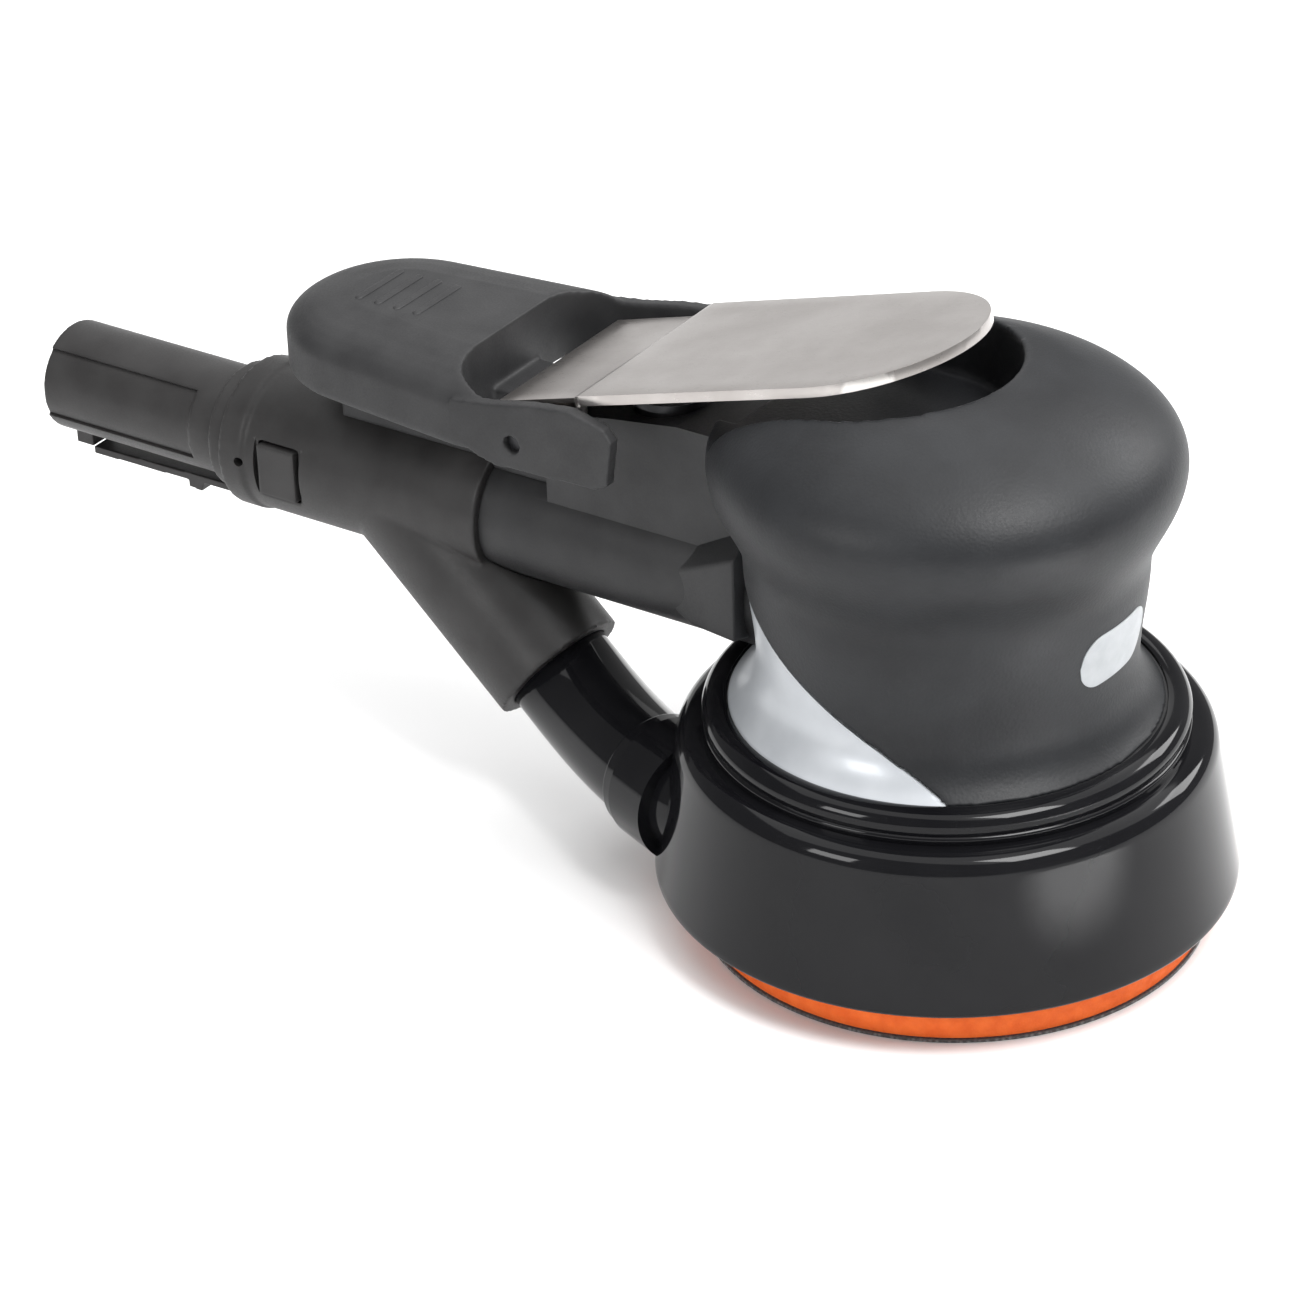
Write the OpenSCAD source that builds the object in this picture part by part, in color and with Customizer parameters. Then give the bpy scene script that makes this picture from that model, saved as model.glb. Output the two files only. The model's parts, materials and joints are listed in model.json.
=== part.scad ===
// Two-handed random orbital sander, driven by air, with a dust shroud.
// The motor turns about the Z axis, the handle runs along -X, and the pad's working face is at Z = 0.

/* [Pad] */
// Radius of the sanding pad
pad_r = 44.5; // [42:0.5:44.5]
// Distance between the motor's axis and the pad's axis
orbit = 1.25; // [0.75:0.25:1.25]
// Number of dust holes through the pad
dust_holes = 6; // [3:1:8]
// Radius of each dust hole
dust_hole_r = 4; // [2:0.5:4.5]

/* [Shroud] */
// Radius of the shroud at its lower edge
shroud_r = 50.7; // [49.5:0.1:52]
// Height of the shroud's lower edge above the pad's face
shroud_z = 10.8; // [10:0.2:11.5]
// Outer radius of the dust tube
tube_r = 10; // [9:0.5:10]

/* [Head] */
// Radius of the grip at its waist
waist_r = 32.7; // [32.5:0.1:34]
// Radius of the grip at its widest place
bulge_r = 40.1; // [39:0.1:41]
// Height of the top of the head
head_top = 103.6; // [103:0.2:106]

/* [Handle] */
// Height of the handle's axis
handle_z = 53.7; // [53:0.1:54.5]
// Outer radius of the handle
handle_r = 12; // [11.5:0.1:12.3]
// Distance from the motor's axis to the seam between the handle and the adapter
seam_x = 89; // [88:0.5:92]
// Distance from the motor's axis to the rear end of the hose fitting
tail_x = 191; // [188:1:194]

/* [Lever] */
// How far the lever stands up from level, in degrees
lever_tilt = 16.3; // [15:0.1:17]
// Width of the lever
lever_w = 42; // [38:1:42]
// Thickness of the lever's sheet metal
lever_t = 1.8; // [1.5:0.1:2]

/* [Hidden] */

$fn = 72;
eps = 0.01;      // overlap that makes joined shapes share volume
over = 1;        // how far a cut runs past the face it opens
fit = 0.02;      // radial clearance of a running fit

// Pad, from the working face upwards
hook_h = 0.6;
foam_top = 9.6;
foam_edge = 1.2;          // how much smaller the foam is at its top
plate_top = 12.4;
plate_r = 41.5;
hub_top = 13.9;
hub_r = 12;
dust_pcd_r = 29;
stud_r = 3.98;
stud_top = 22.5;
stud_flange_r = 7;
stud_flange_z = 10;

// Spindle and balancer
flange_h = 2.2;
flange_r = 9.5;
flats_w = 17;
cup_wall = 3.2;
cup_z = 15.8;
pocket_top = 29.6;
balancer_top = 33.1;
weight_r = 33;
weight_z = 19;
weight_h = 10;
weight_angle = 120;

// Bearings: lower face, width, shaft radius, outer radius, ball radius, balls in a row, rows
spindle_bearing = [17.6, 12, 6, 14, 2.2, 8, 2];
front_bearing = [40.8, 6, 6, 12, 1.6, 9, 1];
rear_bearing = [74.2, 6.8, 4, 11, 1.9, 7, 1];

// Motor
chamber_r = 26;
chamber_top = 82;
stack_r = 25.95;
front_plate_z = 40.6;
cylinder_z = 49;
rear_plate_z = 73;
gasket_z = 81;
lock_r = 28;
lock_z = 33.6;
rotor_r = 17.3;
cylinder_bore_r = 19.4;
cylinder_shift = 2;
vane_count = 5;
vane_t = 1.8;
vane_slot_t = 2;
vane_root = 9.4;
key_w = 2;
key_angle = 36;

// Housing
foot_z = 33;
foot_r = 37.6;
grip_z = 41.3;
grip_t = 3.2;
core_top = 86;
core_top_r = 27;
well_z = 89;
well_half_w = 22.5;
well_x = -11.3;
band_rise = 0.506;        // slope of the boot's lower rear edge
band_x = 18.9;            // where that edge meets the foot

// Handle, valve and air ways
spigot_r = 10.4;
spigot_x = 112;
spine_half_w = 9;
valve_x = -55;
valve_r = 5;
valve_low = 46;
valve_step = 70;
valve_top = 84.5;
bushing_r = 6.5;
stem_r = 2.5;
outlet_z = 67.5;
inlet_z = 55.7;
inlet_r = 3.4;
exhaust_r = 1.9;
exhaust_rear = [-112, 3.2, 47.4];      // where the exhaust bore leaves the spigot, on the right
exhaust_front = [-31, 9.1, 49.7];
port_y = 10;              // how far to each side the cylinder's exhaust ports are
port_low = 57;
seal_depth = 0.9;         // depth of the groove for the seal on the spigot
bushing_body_r = 6.8;
regulator_x = -42;
regulator_r = 4;
thread_r = 5.7;
thread_len = 12;
bushing_end = -101;

// Lever pivot
pivot_x = -72;
pivot_z = 80.4;
pin_r = 1.6;
pin_half = 22.6;
plate_top_w = 7.28;       // height of the lever's upper face above the pivot, square to the lever
lever_reach = 82.3;       // from the pivot to the lever's tip, along the lever
step_u = 13.5;            // where the lever steps down to its tab
tab_top_w = 6;
tab_half = 18.3;

// Adapter and fitting
adapter_r = 13.6;
adapter_bore_r = 11;
adapter_tail = 146;
branch_x = -115;
cuff_r = 12.85;
cuff_end = [-77.8, -4.8, 25.5];
port_angle = 43.1;         // how far round the shroud from the handle the dust port is
port_z = 20.3;
port_depth_r = 26.4;      // distance from the motor's axis to the tube's inner end
tube_wall = 2;
port_t = 0.47;            // where along the tube the flange of the dust port starts, from 0 to 1
fitting_r = 10.4;
fitting_bore_r = 8.2;
fitting_land_x = 156;

function cubic(a, b, c, d, t) =
    a * pow(1 - t, 3) + 3 * b * t * pow(1 - t, 2) + 3 * c * t * t * (1 - t) + d * pow(t, 3);
function curve(a, b, c, d, n) = [for (i = [0:n - 1]) cubic(a, b, c, d, i / n)];
function ball_circle(b) = (b[2] + b[3]) / 2;
function unit(v) = v / norm(v);

// A disc with a hole, standing on z0
module ring(z0, z1, r_out, r_in) {
    translate([0, 0, z0]) difference() {
        cylinder(h = z1 - z0, r = r_out);
        translate([0, 0, -over]) cylinder(h = z1 - z0 + 2 * over, r = r_in);
    }
}

module disc(z0, z1, r) {
    translate([0, 0, z0]) cylinder(h = z1 - z0, r = r);
}

// A rod along X, from x0 to x1
module rod_x(x0, x1, r, z = handle_z, y = 0) {
    translate([x0, y, z]) rotate([0, 90, 0]) cylinder(h = x1 - x0, r = r);
}

// A rod along Y, from y0 to y1
module rod_y(y0, y1, r, x, z) {
    translate([x, y0, z]) rotate([-90, 0, 0]) cylinder(h = y1 - y0, r = r);
}

// A block between two corners
module block(low, high) {
    translate(low) cube(high - low);
}

// A rod from point a to point b
module rod(a, b, r) {
    v = b - a;
    translate(a)
        rotate([0, acos(v[2] / norm(v)), atan2(v[1], v[0])])
            cylinder(h = norm(v), r = r);
}

// Shapes that follow the pad's own axis
module on_pad_axis() {
    translate([orbit, 0, 0]) children();
}

// Heights of the ball rows in a bearing
function row_heights(b) = [for (i = [0:b[6] - 1]) b[0] + b[1] * (2 * i + 1) / (2 * b[6])];

module ball_grooves(b) {
    for (z = row_heights(b))
        translate([0, 0, z]) rotate_extrude()
            translate([ball_circle(b), 0]) circle(r = b[4] + 0.05, $fn = 32);
}

module inner_race(b) {
    color("silver") difference() {
        ring(b[0], b[0] + b[1], ball_circle(b) - b[4] * 0.5, b[2]);
        ball_grooves(b);
    }
}

module outer_race(b) {
    color("silver") difference() {
        ring(b[0], b[0] + b[1], b[3], ball_circle(b) + b[4] * 0.5);
        ball_grooves(b);
    }
}

module ball_rows(b) {
    color("gainsboro")
        for (z = row_heights(b), i = [0:b[5] - 1])
            rotate([0, 0, 360 * i / b[5]]) translate([ball_circle(b), 0, z])
                sphere(r = b[4], $fn = 32);
}

module dust_hole_cuts(z0, z1) {
    for (i = [0:dust_holes - 1])
        rotate([0, 0, 360 * (i + 0.5) / dust_holes]) translate([dust_pcd_r, 0, z0])
            cylinder(h = z1 - z0, r = dust_hole_r);
}

// Pad

module hook_face() {
    color("dimgray") on_pad_axis() difference() {
        disc(0, hook_h, pad_r);
        dust_hole_cuts(-over, hook_h + over);
    }
}

module pad_foam() {
    color("darkorange") on_pad_axis() difference() {
        rotate_extrude() polygon([
            [0, hook_h], [pad_r, hook_h], [pad_r, foam_top - 2 * foam_edge],
            [pad_r - foam_edge, foam_top], [0, foam_top]
        ]);
        dust_hole_cuts(0, foam_top + over);
    }
}

module pad_plate() {
    color("orangered") on_pad_axis() difference() {
        union() {
            disc(foam_top, plate_top, plate_r);
            disc(foam_top, hub_top, hub_r);
        }
        disc(stud_flange_z, plate_top, stud_flange_r);
        disc(foam_top + eps, hub_top + over, stud_r);
        dust_hole_cuts(0, hub_top + over);
    }
}

module pad_stud() {
    color("silver") on_pad_axis() {
        disc(stud_flange_z, plate_top, stud_flange_r);
        disc(stud_flange_z, stud_top, stud_r);
    }
}

// Spindle and balancer

module spindle() {
    b = spindle_bearing;
    color("gray") on_pad_axis() difference() {
        union() {
            intersection() {
                disc(hub_top, hub_top + flange_h, flange_r);
                block([-flats_w / 2, -flange_r, hub_top], [flats_w / 2, flange_r, cup_z + flange_h]);
            }
            disc(hub_top, b[0], b[2] + 2);
            disc(hub_top, pocket_top - 0.3, b[2]);
        }
        disc(hub_top - over, stud_top + 0.5, stud_r + fit);
        disc(24, pocket_top + over, 2);
    }
}

module spindle_screw() {
    color("darkgray") on_pad_axis() difference() {
        union() {
            disc(24.2, 31, 1.98);
            disc(pocket_top, 31.3, 7);
        }
        translate([0, 0, 30]) cylinder(h = 2, r = 1.7, $fn = 6);
    }
}

module spindle_inner_race() { on_pad_axis() inner_race(spindle_bearing); }
module spindle_balls() { on_pad_axis() ball_rows(spindle_bearing); }
module spindle_outer_race() { on_pad_axis() outer_race(spindle_bearing); }

module snap_ring() {
    color("dimgray") on_pad_axis() difference() {
        ring(16.5, 17.5, 14.9, 12.2);
        block([11, -3, 16], [16, 3, 18]);
    }
}

module balancer_shaft() {
    b = spindle_bearing;
    color("slategray") difference() {
        union() {
            on_pad_axis() disc(cup_z, balancer_top, b[3] + cup_wall);
            rotate([0, 0, 180 - weight_angle / 2]) rotate_extrude(angle = weight_angle)
                translate([b[3] + 0.6, weight_z]) square([weight_r - b[3] - 0.6, weight_h]);
            disc(balancer_top - eps, front_bearing[0], front_bearing[2] + 1.2);
            disc(balancer_top, rear_plate_z, front_bearing[2]);
            disc(balancer_top, rear_bearing[0] + rear_bearing[1], rear_bearing[2]);
        }
        on_pad_axis() disc(cup_z - over, pocket_top, b[3]);
        on_pad_axis() disc(16.4, 17.6, b[3] + 1);
        on_pad_axis() disc(pocket_top - eps, 31.6, 9);
        rotate([0, 0, key_angle]) block([5, -key_w / 2, 53], [8, key_w / 2, 69]);
    }
}

// Motor

module rotor() {
    color("lightslategray") difference() {
        ring(cylinder_z + 0.1, rear_plate_z - 0.1, rotor_r, front_bearing[2]);
        for (i = [0:vane_count - 1]) rotate([0, 0, 360 * i / vane_count])
            block([vane_root, -vane_slot_t / 2, cylinder_z], [rotor_r + over, vane_slot_t / 2, rear_plate_z]);
        rotate([0, 0, key_angle]) block([4, -key_w / 2, 53], [7.2, key_w / 2, 69]);
    }
}

module rotor_vanes() {
    color("burlywood") for (i = [0:vane_count - 1]) rotate([0, 0, 360 * i / vane_count])
        block([vane_root, -vane_t / 2, cylinder_z + 0.3], [rotor_r - 0.2, vane_t / 2, rear_plate_z - 0.3]);
}

module rotor_key() {
    color("silver") rotate([0, 0, key_angle])
        block([5, -key_w / 2, 53], [7.2, key_w / 2, 69]);
}

module front_inner_race() { inner_race(front_bearing); }
module front_balls() { ball_rows(front_bearing); }
module front_outer_race() { outer_race(front_bearing); }
module rear_inner_race() { inner_race(rear_bearing); }
module rear_balls() { ball_rows(rear_bearing); }
module rear_outer_race() { outer_race(rear_bearing); }

// Blind hole for the pin that keeps the plates and the cylinder in line
module pin_cut(z0, z1) {
    translate([0, -23.2, z0]) cylinder(h = z1 - z0, r = 1.25, $fn = 24);
}

module front_plate() {
    color("darkgray") difference() {
        disc(front_plate_z, cylinder_z, stack_r);
        disc(front_plate_z - over, front_bearing[0] + front_bearing[1], front_bearing[3]);
        disc(front_plate_z, cylinder_z + over, 7);
        pin_cut(cylinder_z - 4, cylinder_z + over);
    }
}

module cylinder_sleeve() {
    color("gray") difference() {
        disc(cylinder_z, rear_plate_z, stack_r);
        translate([0, cylinder_shift, cylinder_z - over])
            cylinder(h = rear_plate_z - cylinder_z + 2 * over, r = cylinder_bore_r);
        pin_cut(cylinder_z - over, rear_plate_z + over);
        // air in at the top, exhaust at both sides
        rod_x(-chamber_r - over, -10, 3, outlet_z);
        for (s = [-1, 1]) rod_x(-chamber_r - over, -10, 1.5, port_low, s * port_y);
    }
}

module cylinder_pin() {
    color("silver") pin_cut(cylinder_z - 4, rear_plate_z + 4);
}

module rear_plate() {
    color("darkgray") difference() {
        disc(rear_plate_z, gasket_z, stack_r);
        disc(rear_bearing[0], gasket_z + over, rear_bearing[3]);
        disc(rear_plate_z - over, gasket_z, 6.2);
        pin_cut(rear_plate_z - over, rear_plate_z + 4);
    }
}

module motor_gasket() {
    color("black") ring(gasket_z, chamber_top, stack_r - 1, 16);
}

module lock_ring() {
    color("dimgray") difference() {
        ring(lock_z, front_plate_z, lock_r - 0.05, 10);
        for (a = [0:90:270]) rotate([0, 0, a])
            translate([19, 0, lock_z - over]) cylinder(h = 4, r = 1.5, $fn = 24);
    }
}

// Housing

// Outline of the head's outside, from the foot to the top
head_outline = concat(
    curve([37.7, grip_z], [34.4, 43.5], [waist_r, 46.5], [waist_r, 50.5], 5),
    curve([waist_r, 50.5], [waist_r, 57], [34.2, 62], [34.3, 69], 4),
    curve([34.3, 69], [34.5, 75], [bulge_r, 80], [bulge_r, 86.5], 7),
    curve([bulge_r, 86.5], [bulge_r, 93.5], [31, 98.5], [23.2, 101.5], 8),
    curve([23.2, 101.5], [18, head_top], [9, head_top], [0, head_top], 4),
    [[0, head_top], [0, grip_z]]
);

module core_outline(extra = 0) {
    polygon([
        [0, foot_z], [foot_r, foot_z], [foot_r, grip_z - extra], [34.4 + extra, grip_z - extra],
        [34.4 + extra, 42.6], [waist_r - grip_t + extra, 50.5], [31 + extra, 69],
        [31 + extra, 80], [core_top_r + extra, core_top + extra], [0, core_top + extra]
    ]);
}

// Space below the boot's slanted lower edge
module below_edge() {
    x1 = band_x + 30;
    x0 = -60;
    rotate([90, 0, 0]) translate([0, 0, -60]) linear_extrude(height = 120)
        polygon([
            [x0, 0], [x1, 0], [x1, grip_z + band_rise * (band_x - x1)],
            [x0, grip_z + band_rise * (band_x - x0)]
        ]);
}

// Space that the handle and its spine take up in the head's skins
module handle_cut() {
    rod_x(-60, 0, handle_r + 0.05);
    block([-60, -spine_half_w - 0.05, handle_z], [0, spine_half_w + 0.05, valve_top]);
}

module head_skin() {
    difference() {
        rotate_extrude() polygon(head_outline);
        rotate_extrude() core_outline(eps);
        handle_cut();
    }
}

// Recess that the lever sinks into
module lever_well() {
    block([-60, -well_half_w, well_z], [well_x, well_half_w, head_top + over]);
    translate([well_x, 0, well_z]) cylinder(h = head_top - well_z + over, r = well_half_w);
    block([-60, -spine_half_w - 2, 60], [-34, spine_half_w + 2, well_z + over]);
}

// The same point on either side of the handle, s is 1 or -1
function sided(p, s) = [p[0], s * p[1], p[2]];

// Slanted exhaust bore past the valve, or a stretch of it from one share of its length to another
module exhaust_way(s, from_share, to_share, slack = 0) {
    way = exhaust_front - exhaust_rear;
    start = from_share < 0 ? exhaust_rear - 0.02 * way : exhaust_rear + from_share * way;
    rod(sided(start, s), sided(exhaust_rear + to_share * way, s), exhaust_r - slack);
}

module housing() {
    color([0.2, 0.2, 0.21]) difference() {
        union() {
            rotate_extrude() core_outline();
            rod_x(-seam_x, -20, handle_r);
            rod_x(-spigot_x, -seam_x + eps, spigot_r);
            rotate([90, 0, 0]) translate([0, 0, -spine_half_w])
                linear_extrude(height = 2 * spine_half_w)
                    polygon([
                        [pivot_x - 3.8, handle_z], [pivot_x - 3.8, pivot_z], [pivot_x, pivot_z],
                        [pivot_x + 3.8, pivot_z], [-62, 81.5], [-48, 83.5], [-20, 83.5], [-20, handle_z]
                    ]);
            rod_y(-spine_half_w, spine_half_w, 3.8, pivot_x, pivot_z);
        }
        disc(foot_z - over, chamber_top, chamber_r);
        disc(foot_z - over, front_plate_z, lock_r);
        // valve chamber, stepped so that everything goes in from above
        translate([valve_x, 0, valve_low]) cylinder(h = valve_top, r = valve_r);
        translate([valve_x, 0, valve_step]) cylinder(h = valve_top, r = bushing_r);
        // air in, air to the motor, and exhaust
        rod_x(-spigot_x, valve_x, inlet_r, inlet_z - 1);
        rod_x(-spigot_x - over, bushing_end, bushing_body_r, inlet_z);
        rod_x(valve_x, -chamber_r + 2, 3.2, outlet_z);
        for (s = [-1, 1]) {
            exhaust_way(s, -1, 1);
            rod(sided(exhaust_front - [0.6, 0.1, 0.7], s), [-24, s * port_y, port_low], exhaust_r - 0.3);
        }
        rod_y(-6, spine_half_w + over, regulator_r + fit, regulator_x, outlet_z);
        rod_y(-spine_half_w - over, spine_half_w + over, pin_r + 0.03, pivot_x, pivot_z);
        // groove for the seal in the adapter
        translate([-106, 0, handle_z]) rotate([0, 90, 0]) ring(0, 2.4, spigot_r + over, spigot_r - seal_depth);
    }
}

module comfort_grip() {
    color([0.27, 0.27, 0.28]) difference() {
        head_skin();
        below_edge();
        lever_well();
    }
}

module barrel_band() {
    color([0.82, 0.84, 0.86]) intersection() {
        head_skin();
        below_edge();
    }
}

// Shroud and dust path

cuff_dir = unit(cuff_end - [branch_x, 0, handle_z]);
port_dir = [cos(port_angle), sin(port_angle), 0];
port_in = [-port_depth_r * cos(port_angle), -port_depth_r * sin(port_angle), port_z];
tube_back = cuff_end - 15 * cuff_dir;
tube_sides = 40;
tube_steps = 12;

// Centre line of the dust tube from the cuff to the shroud, t from 0 to 1
function tube_point(t) = cubic(cuff_end, cuff_end + 14.7 * cuff_dir, port_in - 20.8 * port_dir, port_in, t);
function tube_way(t) = unit(tube_point(t + 0.01) - tube_point(t - 0.01));

function round_section(place, way, r) =
    let (side = unit(cross(way, [0, 0, 1])), up = cross(side, way))
    [for (j = [0:tube_sides - 1]) let (a = 360 * j / tube_sides) place + r * (cos(a) * side + sin(a) * up)];

// Round bar along the dust tube's whole path
module tube_path(r, spare = 0) {
    stations = concat(
        [[tube_back - spare * cuff_dir, cuff_dir]],
        [for (i = [0:tube_steps]) [tube_point(i / tube_steps), tube_way(i / tube_steps)]],
        [[port_in + (1 + spare) * port_dir, port_dir]]
    );
    last = len(stations) - 1;
    n = tube_sides;
    polyhedron(
        points = [for (s = stations) each round_section(s[0], s[1], r)],
        faces = concat(
            [[for (j = [n - 1:-1:0]) j]],
            [for (i = [0:last - 1], j = [0:n - 1]) [i * n + j, (i + 1) * n + (j + 1) % n, (i + 1) * n + j]],
            [for (i = [0:last - 1], j = [0:n - 1]) [i * n + j, i * n + (j + 1) % n, (i + 1) * n + (j + 1) % n]],
            [[for (j = [0:n - 1]) last * n + j]]
        )
    );
}

module shroud() {
    wall = 2.5;
    color([0.05, 0.05, 0.06]) difference() {
        union() {
            rotate_extrude() polygon(concat(
                [[foot_r + 0.05, shroud_z], [shroud_r - 0.6, shroud_z], [shroud_r, shroud_z + 0.8]],
                curve([shroud_r - 4.1, 33], [shroud_r - 4.6, 35.5], [shroud_r - 6.2, 36.6],
                      [shroud_r - 8.5, 36.6], 5),
                [[shroud_r - 8.5, 36.6], [foot_r + 0.05, 36.6]]
            ));
            rod(tube_point(port_t), tube_point(port_t + 0.12), tube_r + 1.2);
        }
        rotate_extrude() polygon([
            [0, shroud_z - 5], [shroud_r - wall, shroud_z - 5], [shroud_r - wall, shroud_z + 2],
            [shroud_r - 4.1 - wall, 33], [shroud_r - 7.5, foot_z + 0.6], [0, foot_z + 0.6]
        ]);
        tube_path(tube_r, 2);
    }
}

module shroud_collar() {
    color([0.05, 0.05, 0.06]) rotate_extrude() difference() {
        union() {
            translate([foot_r + 0.05, 36.6]) square([4.2, 3.2]);
            translate([foot_r + 1.4, 39.2]) circle(r = 2.9, $fn = 48);
        }
        translate([foot_r - 5, 30]) square([5.05, 15]);
        translate([foot_r - 5, 30]) square([12, 6.6]);
    }
}

module dust_tube() {
    color([0.05, 0.05, 0.06]) difference() {
        tube_path(tube_r);
        tube_path(tube_r - tube_wall, 2);
        disc(0, 60, shroud_r - 5.5);
    }
}

module dust_adapter() {
    start = [branch_x, 0, handle_z];
    color([0.22, 0.22, 0.23]) difference() {
        union() {
            rod_x(-adapter_tail, -seam_x, adapter_r);
            rod_x(-adapter_tail, -adapter_tail + 5, adapter_r + 0.5);
            rod(start, cuff_end, cuff_r);
        }
        rod_x(-adapter_tail - over, -spigot_x, adapter_bore_r);
        rod_x(-spigot_x - eps, -seam_x + over, spigot_r + 0.05);
        rod(start + 4 * cuff_dir, cuff_end, tube_r - tube_wall);
        rod(tube_back, cuff_end + over * cuff_dir, tube_r);
        rod_x(-seam_x, -60, handle_r + 0.05);
        block([-137.5, -adapter_r - over, handle_z - 5.5], [-128.5, -adapter_bore_r + 2, handle_z + 5.5]);
    }
}

module adapter_seal() {
    color("black") translate([-105.8, 0, handle_z]) rotate([0, 90, 0])
        ring(0, 2, spigot_r, spigot_r - seal_depth);
}

module hose_fitting() {
    collar_x = -adapter_tail - 4;
    tail = -tail_x;
    color([0.2, 0.2, 0.21]) difference() {
        union() {
            rod_x(tail, -130, fitting_r);
            rod_x(collar_x, -adapter_tail, fitting_r + 1.6);
            // lug that snaps into the adapter's window
            block([-137.2, -adapter_r, handle_z - 5], [-128.8, -9, handle_z + 5]);
            block([tail + 1, -3, handle_z - 12.9], [tail + 5, 3, handle_z - 9]);
        }
        rod_x(tail - over, -129, fitting_bore_r);
        // shallow panels between the raised bars
        for (s = [-1, 1]) difference() {
            block([tail - over, min(s * 6, s * 14), handle_z - 4.5],
                  [-fitting_land_x, max(s * 6, s * 14), handle_z + 8]);
            rod_x(tail - 2 * over, -fitting_land_x + over, fitting_r - 0.5);
        }
        translate([-143, 0, handle_z]) rotate([0, 90, 0]) ring(0, 2.4, fitting_r + 3, fitting_r - 1.2);
    }
}

module fitting_seal() {
    color("black") translate([-142.8, 0, handle_z]) rotate([0, 90, 0])
        ring(0, 2, adapter_bore_r - 0.02, fitting_r - 1.2);
}

// Spring arm under the hose fitting, with the hook that holds the hose's collar
module hose_latch() {
    tail = -tail_x;
    color([0.2, 0.2, 0.21]) rotate([90, 0, 0]) translate([0, 0, -3]) linear_extrude(height = 6)
        polygon([
            [tail + 5.2, handle_z - 12.9], [-153, handle_z - 12.3], [-153, handle_z - 13.7],
            [-159.5, handle_z - 13.9], [-160, handle_z - 15.6], [-163, handle_z - 15.4],
            [-163, handle_z - 14], [tail + 5.2, handle_z - 14.4]
        ]);
}

// Air inlet, valve and regulator

module inlet_bushing() {
    inlet_face = -spigot_x - 5;
    color("silver") difference() {
        union() {
            rod_x(inlet_face, -spigot_x, 8, inlet_z);
            rod_x(-spigot_x - eps, bushing_end, bushing_body_r, inlet_z);
        }
        rod_x(inlet_face - over, inlet_face + thread_len, thread_r, inlet_z);
        rod_x(inlet_face, bushing_end + over, 4, inlet_z);
        // wrench flats
        for (s = [-1, 1])
            block([inlet_face - over, min(s * 7.2, s * 9), inlet_z - 9],
                  [-spigot_x, max(s * 7.2, s * 9), inlet_z + 9]);
    }
}

module inlet_screen() {
    color("goldenrod") difference() {
        rod_x(-104.5, -103.5, 3.98, inlet_z);
        for (a = [0:60:300])
            rod_x(-105, -103, 0.8, inlet_z + 2.3 * sin(a), 2.3 * cos(a));
        rod_x(-105, -103, 0.8, inlet_z);
    }
}

module muffler_felts() {
    color("ivory") for (s = [-1, 1]) exhaust_way(s, 0.03, 0.12, 0.02);
}

module on_valve_axis() {
    translate([valve_x, 0, 0]) children();
}

module valve_seat() {
    color("goldenrod") on_valve_axis() ring(58, 61, valve_r, 2.9);
}

module valve_spring() {
    color("silver") on_valve_axis() ring(valve_low, 53.6, 3.6, 2.8);
}

module valve_poppet() {
    color("black") on_valve_axis() {
        disc(54.2, 57.9, 4.2);
        disc(53.6, 54.2, 4.4);
    }
}

module valve_stem() {
    color("silver") on_valve_axis() {
        disc(57.9, 66, 1.6);
        disc(66, 89.4, stem_r);
        translate([0, 0, 89.4]) rotate_extrude() intersection() {
            square([stem_r, 1.45]);
            translate([0, -2.3]) circle(r = 3.75);
        }
    }
}

module valve_bushing() {
    color("goldenrod") on_valve_axis() difference() {
        union() {
            disc(valve_step, valve_top, bushing_r - 0.02);
            disc(84, 85.4, bushing_r + 0.8);
        }
        disc(valve_step - over, 86, stem_r + 0.05);
        disc(76, 78.2, stem_r + 1.3);
    }
}

module stem_seal() {
    color("black") on_valve_axis() ring(76.1, 78.1, stem_r + 1.3, stem_r + 0.05);
}

// Turning plug that narrows the air way to the motor, with its finger knob
module speed_regulator() {
    color("dimgray") difference() {
        union() {
            rod_y(-5.8, spine_half_w + 0.4, regulator_r, regulator_x, outlet_z);
            rod_y(spine_half_w + 0.4, spine_half_w + 5, 6.2, regulator_x, outlet_z);
            block([regulator_x - 1.1, spine_half_w + 4, outlet_z - 5.6],
                  [regulator_x + 1.1, spine_half_w + 7, outlet_z + 5.6]);
        }
        rod_x(regulator_x - 6, regulator_x + 6, 2.6, outlet_z);
        translate([regulator_x, 5, outlet_z]) rotate([-90, 0, 0]) ring(0, 2, 5, regulator_r - 0.9);
    }
}

module regulator_seal() {
    color("black") translate([regulator_x, 5.1, outlet_z]) rotate([-90, 0, 0])
        ring(0, 1.8, regulator_r + fit, regulator_r - 0.9);
}

// Lever and wrist platform

// Local X runs along the lever from its pivot, local Z is square to it
module on_lever() {
    translate([pivot_x, 0, pivot_z]) rotate([0, -lever_tilt, 0]) children();
}

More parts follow.
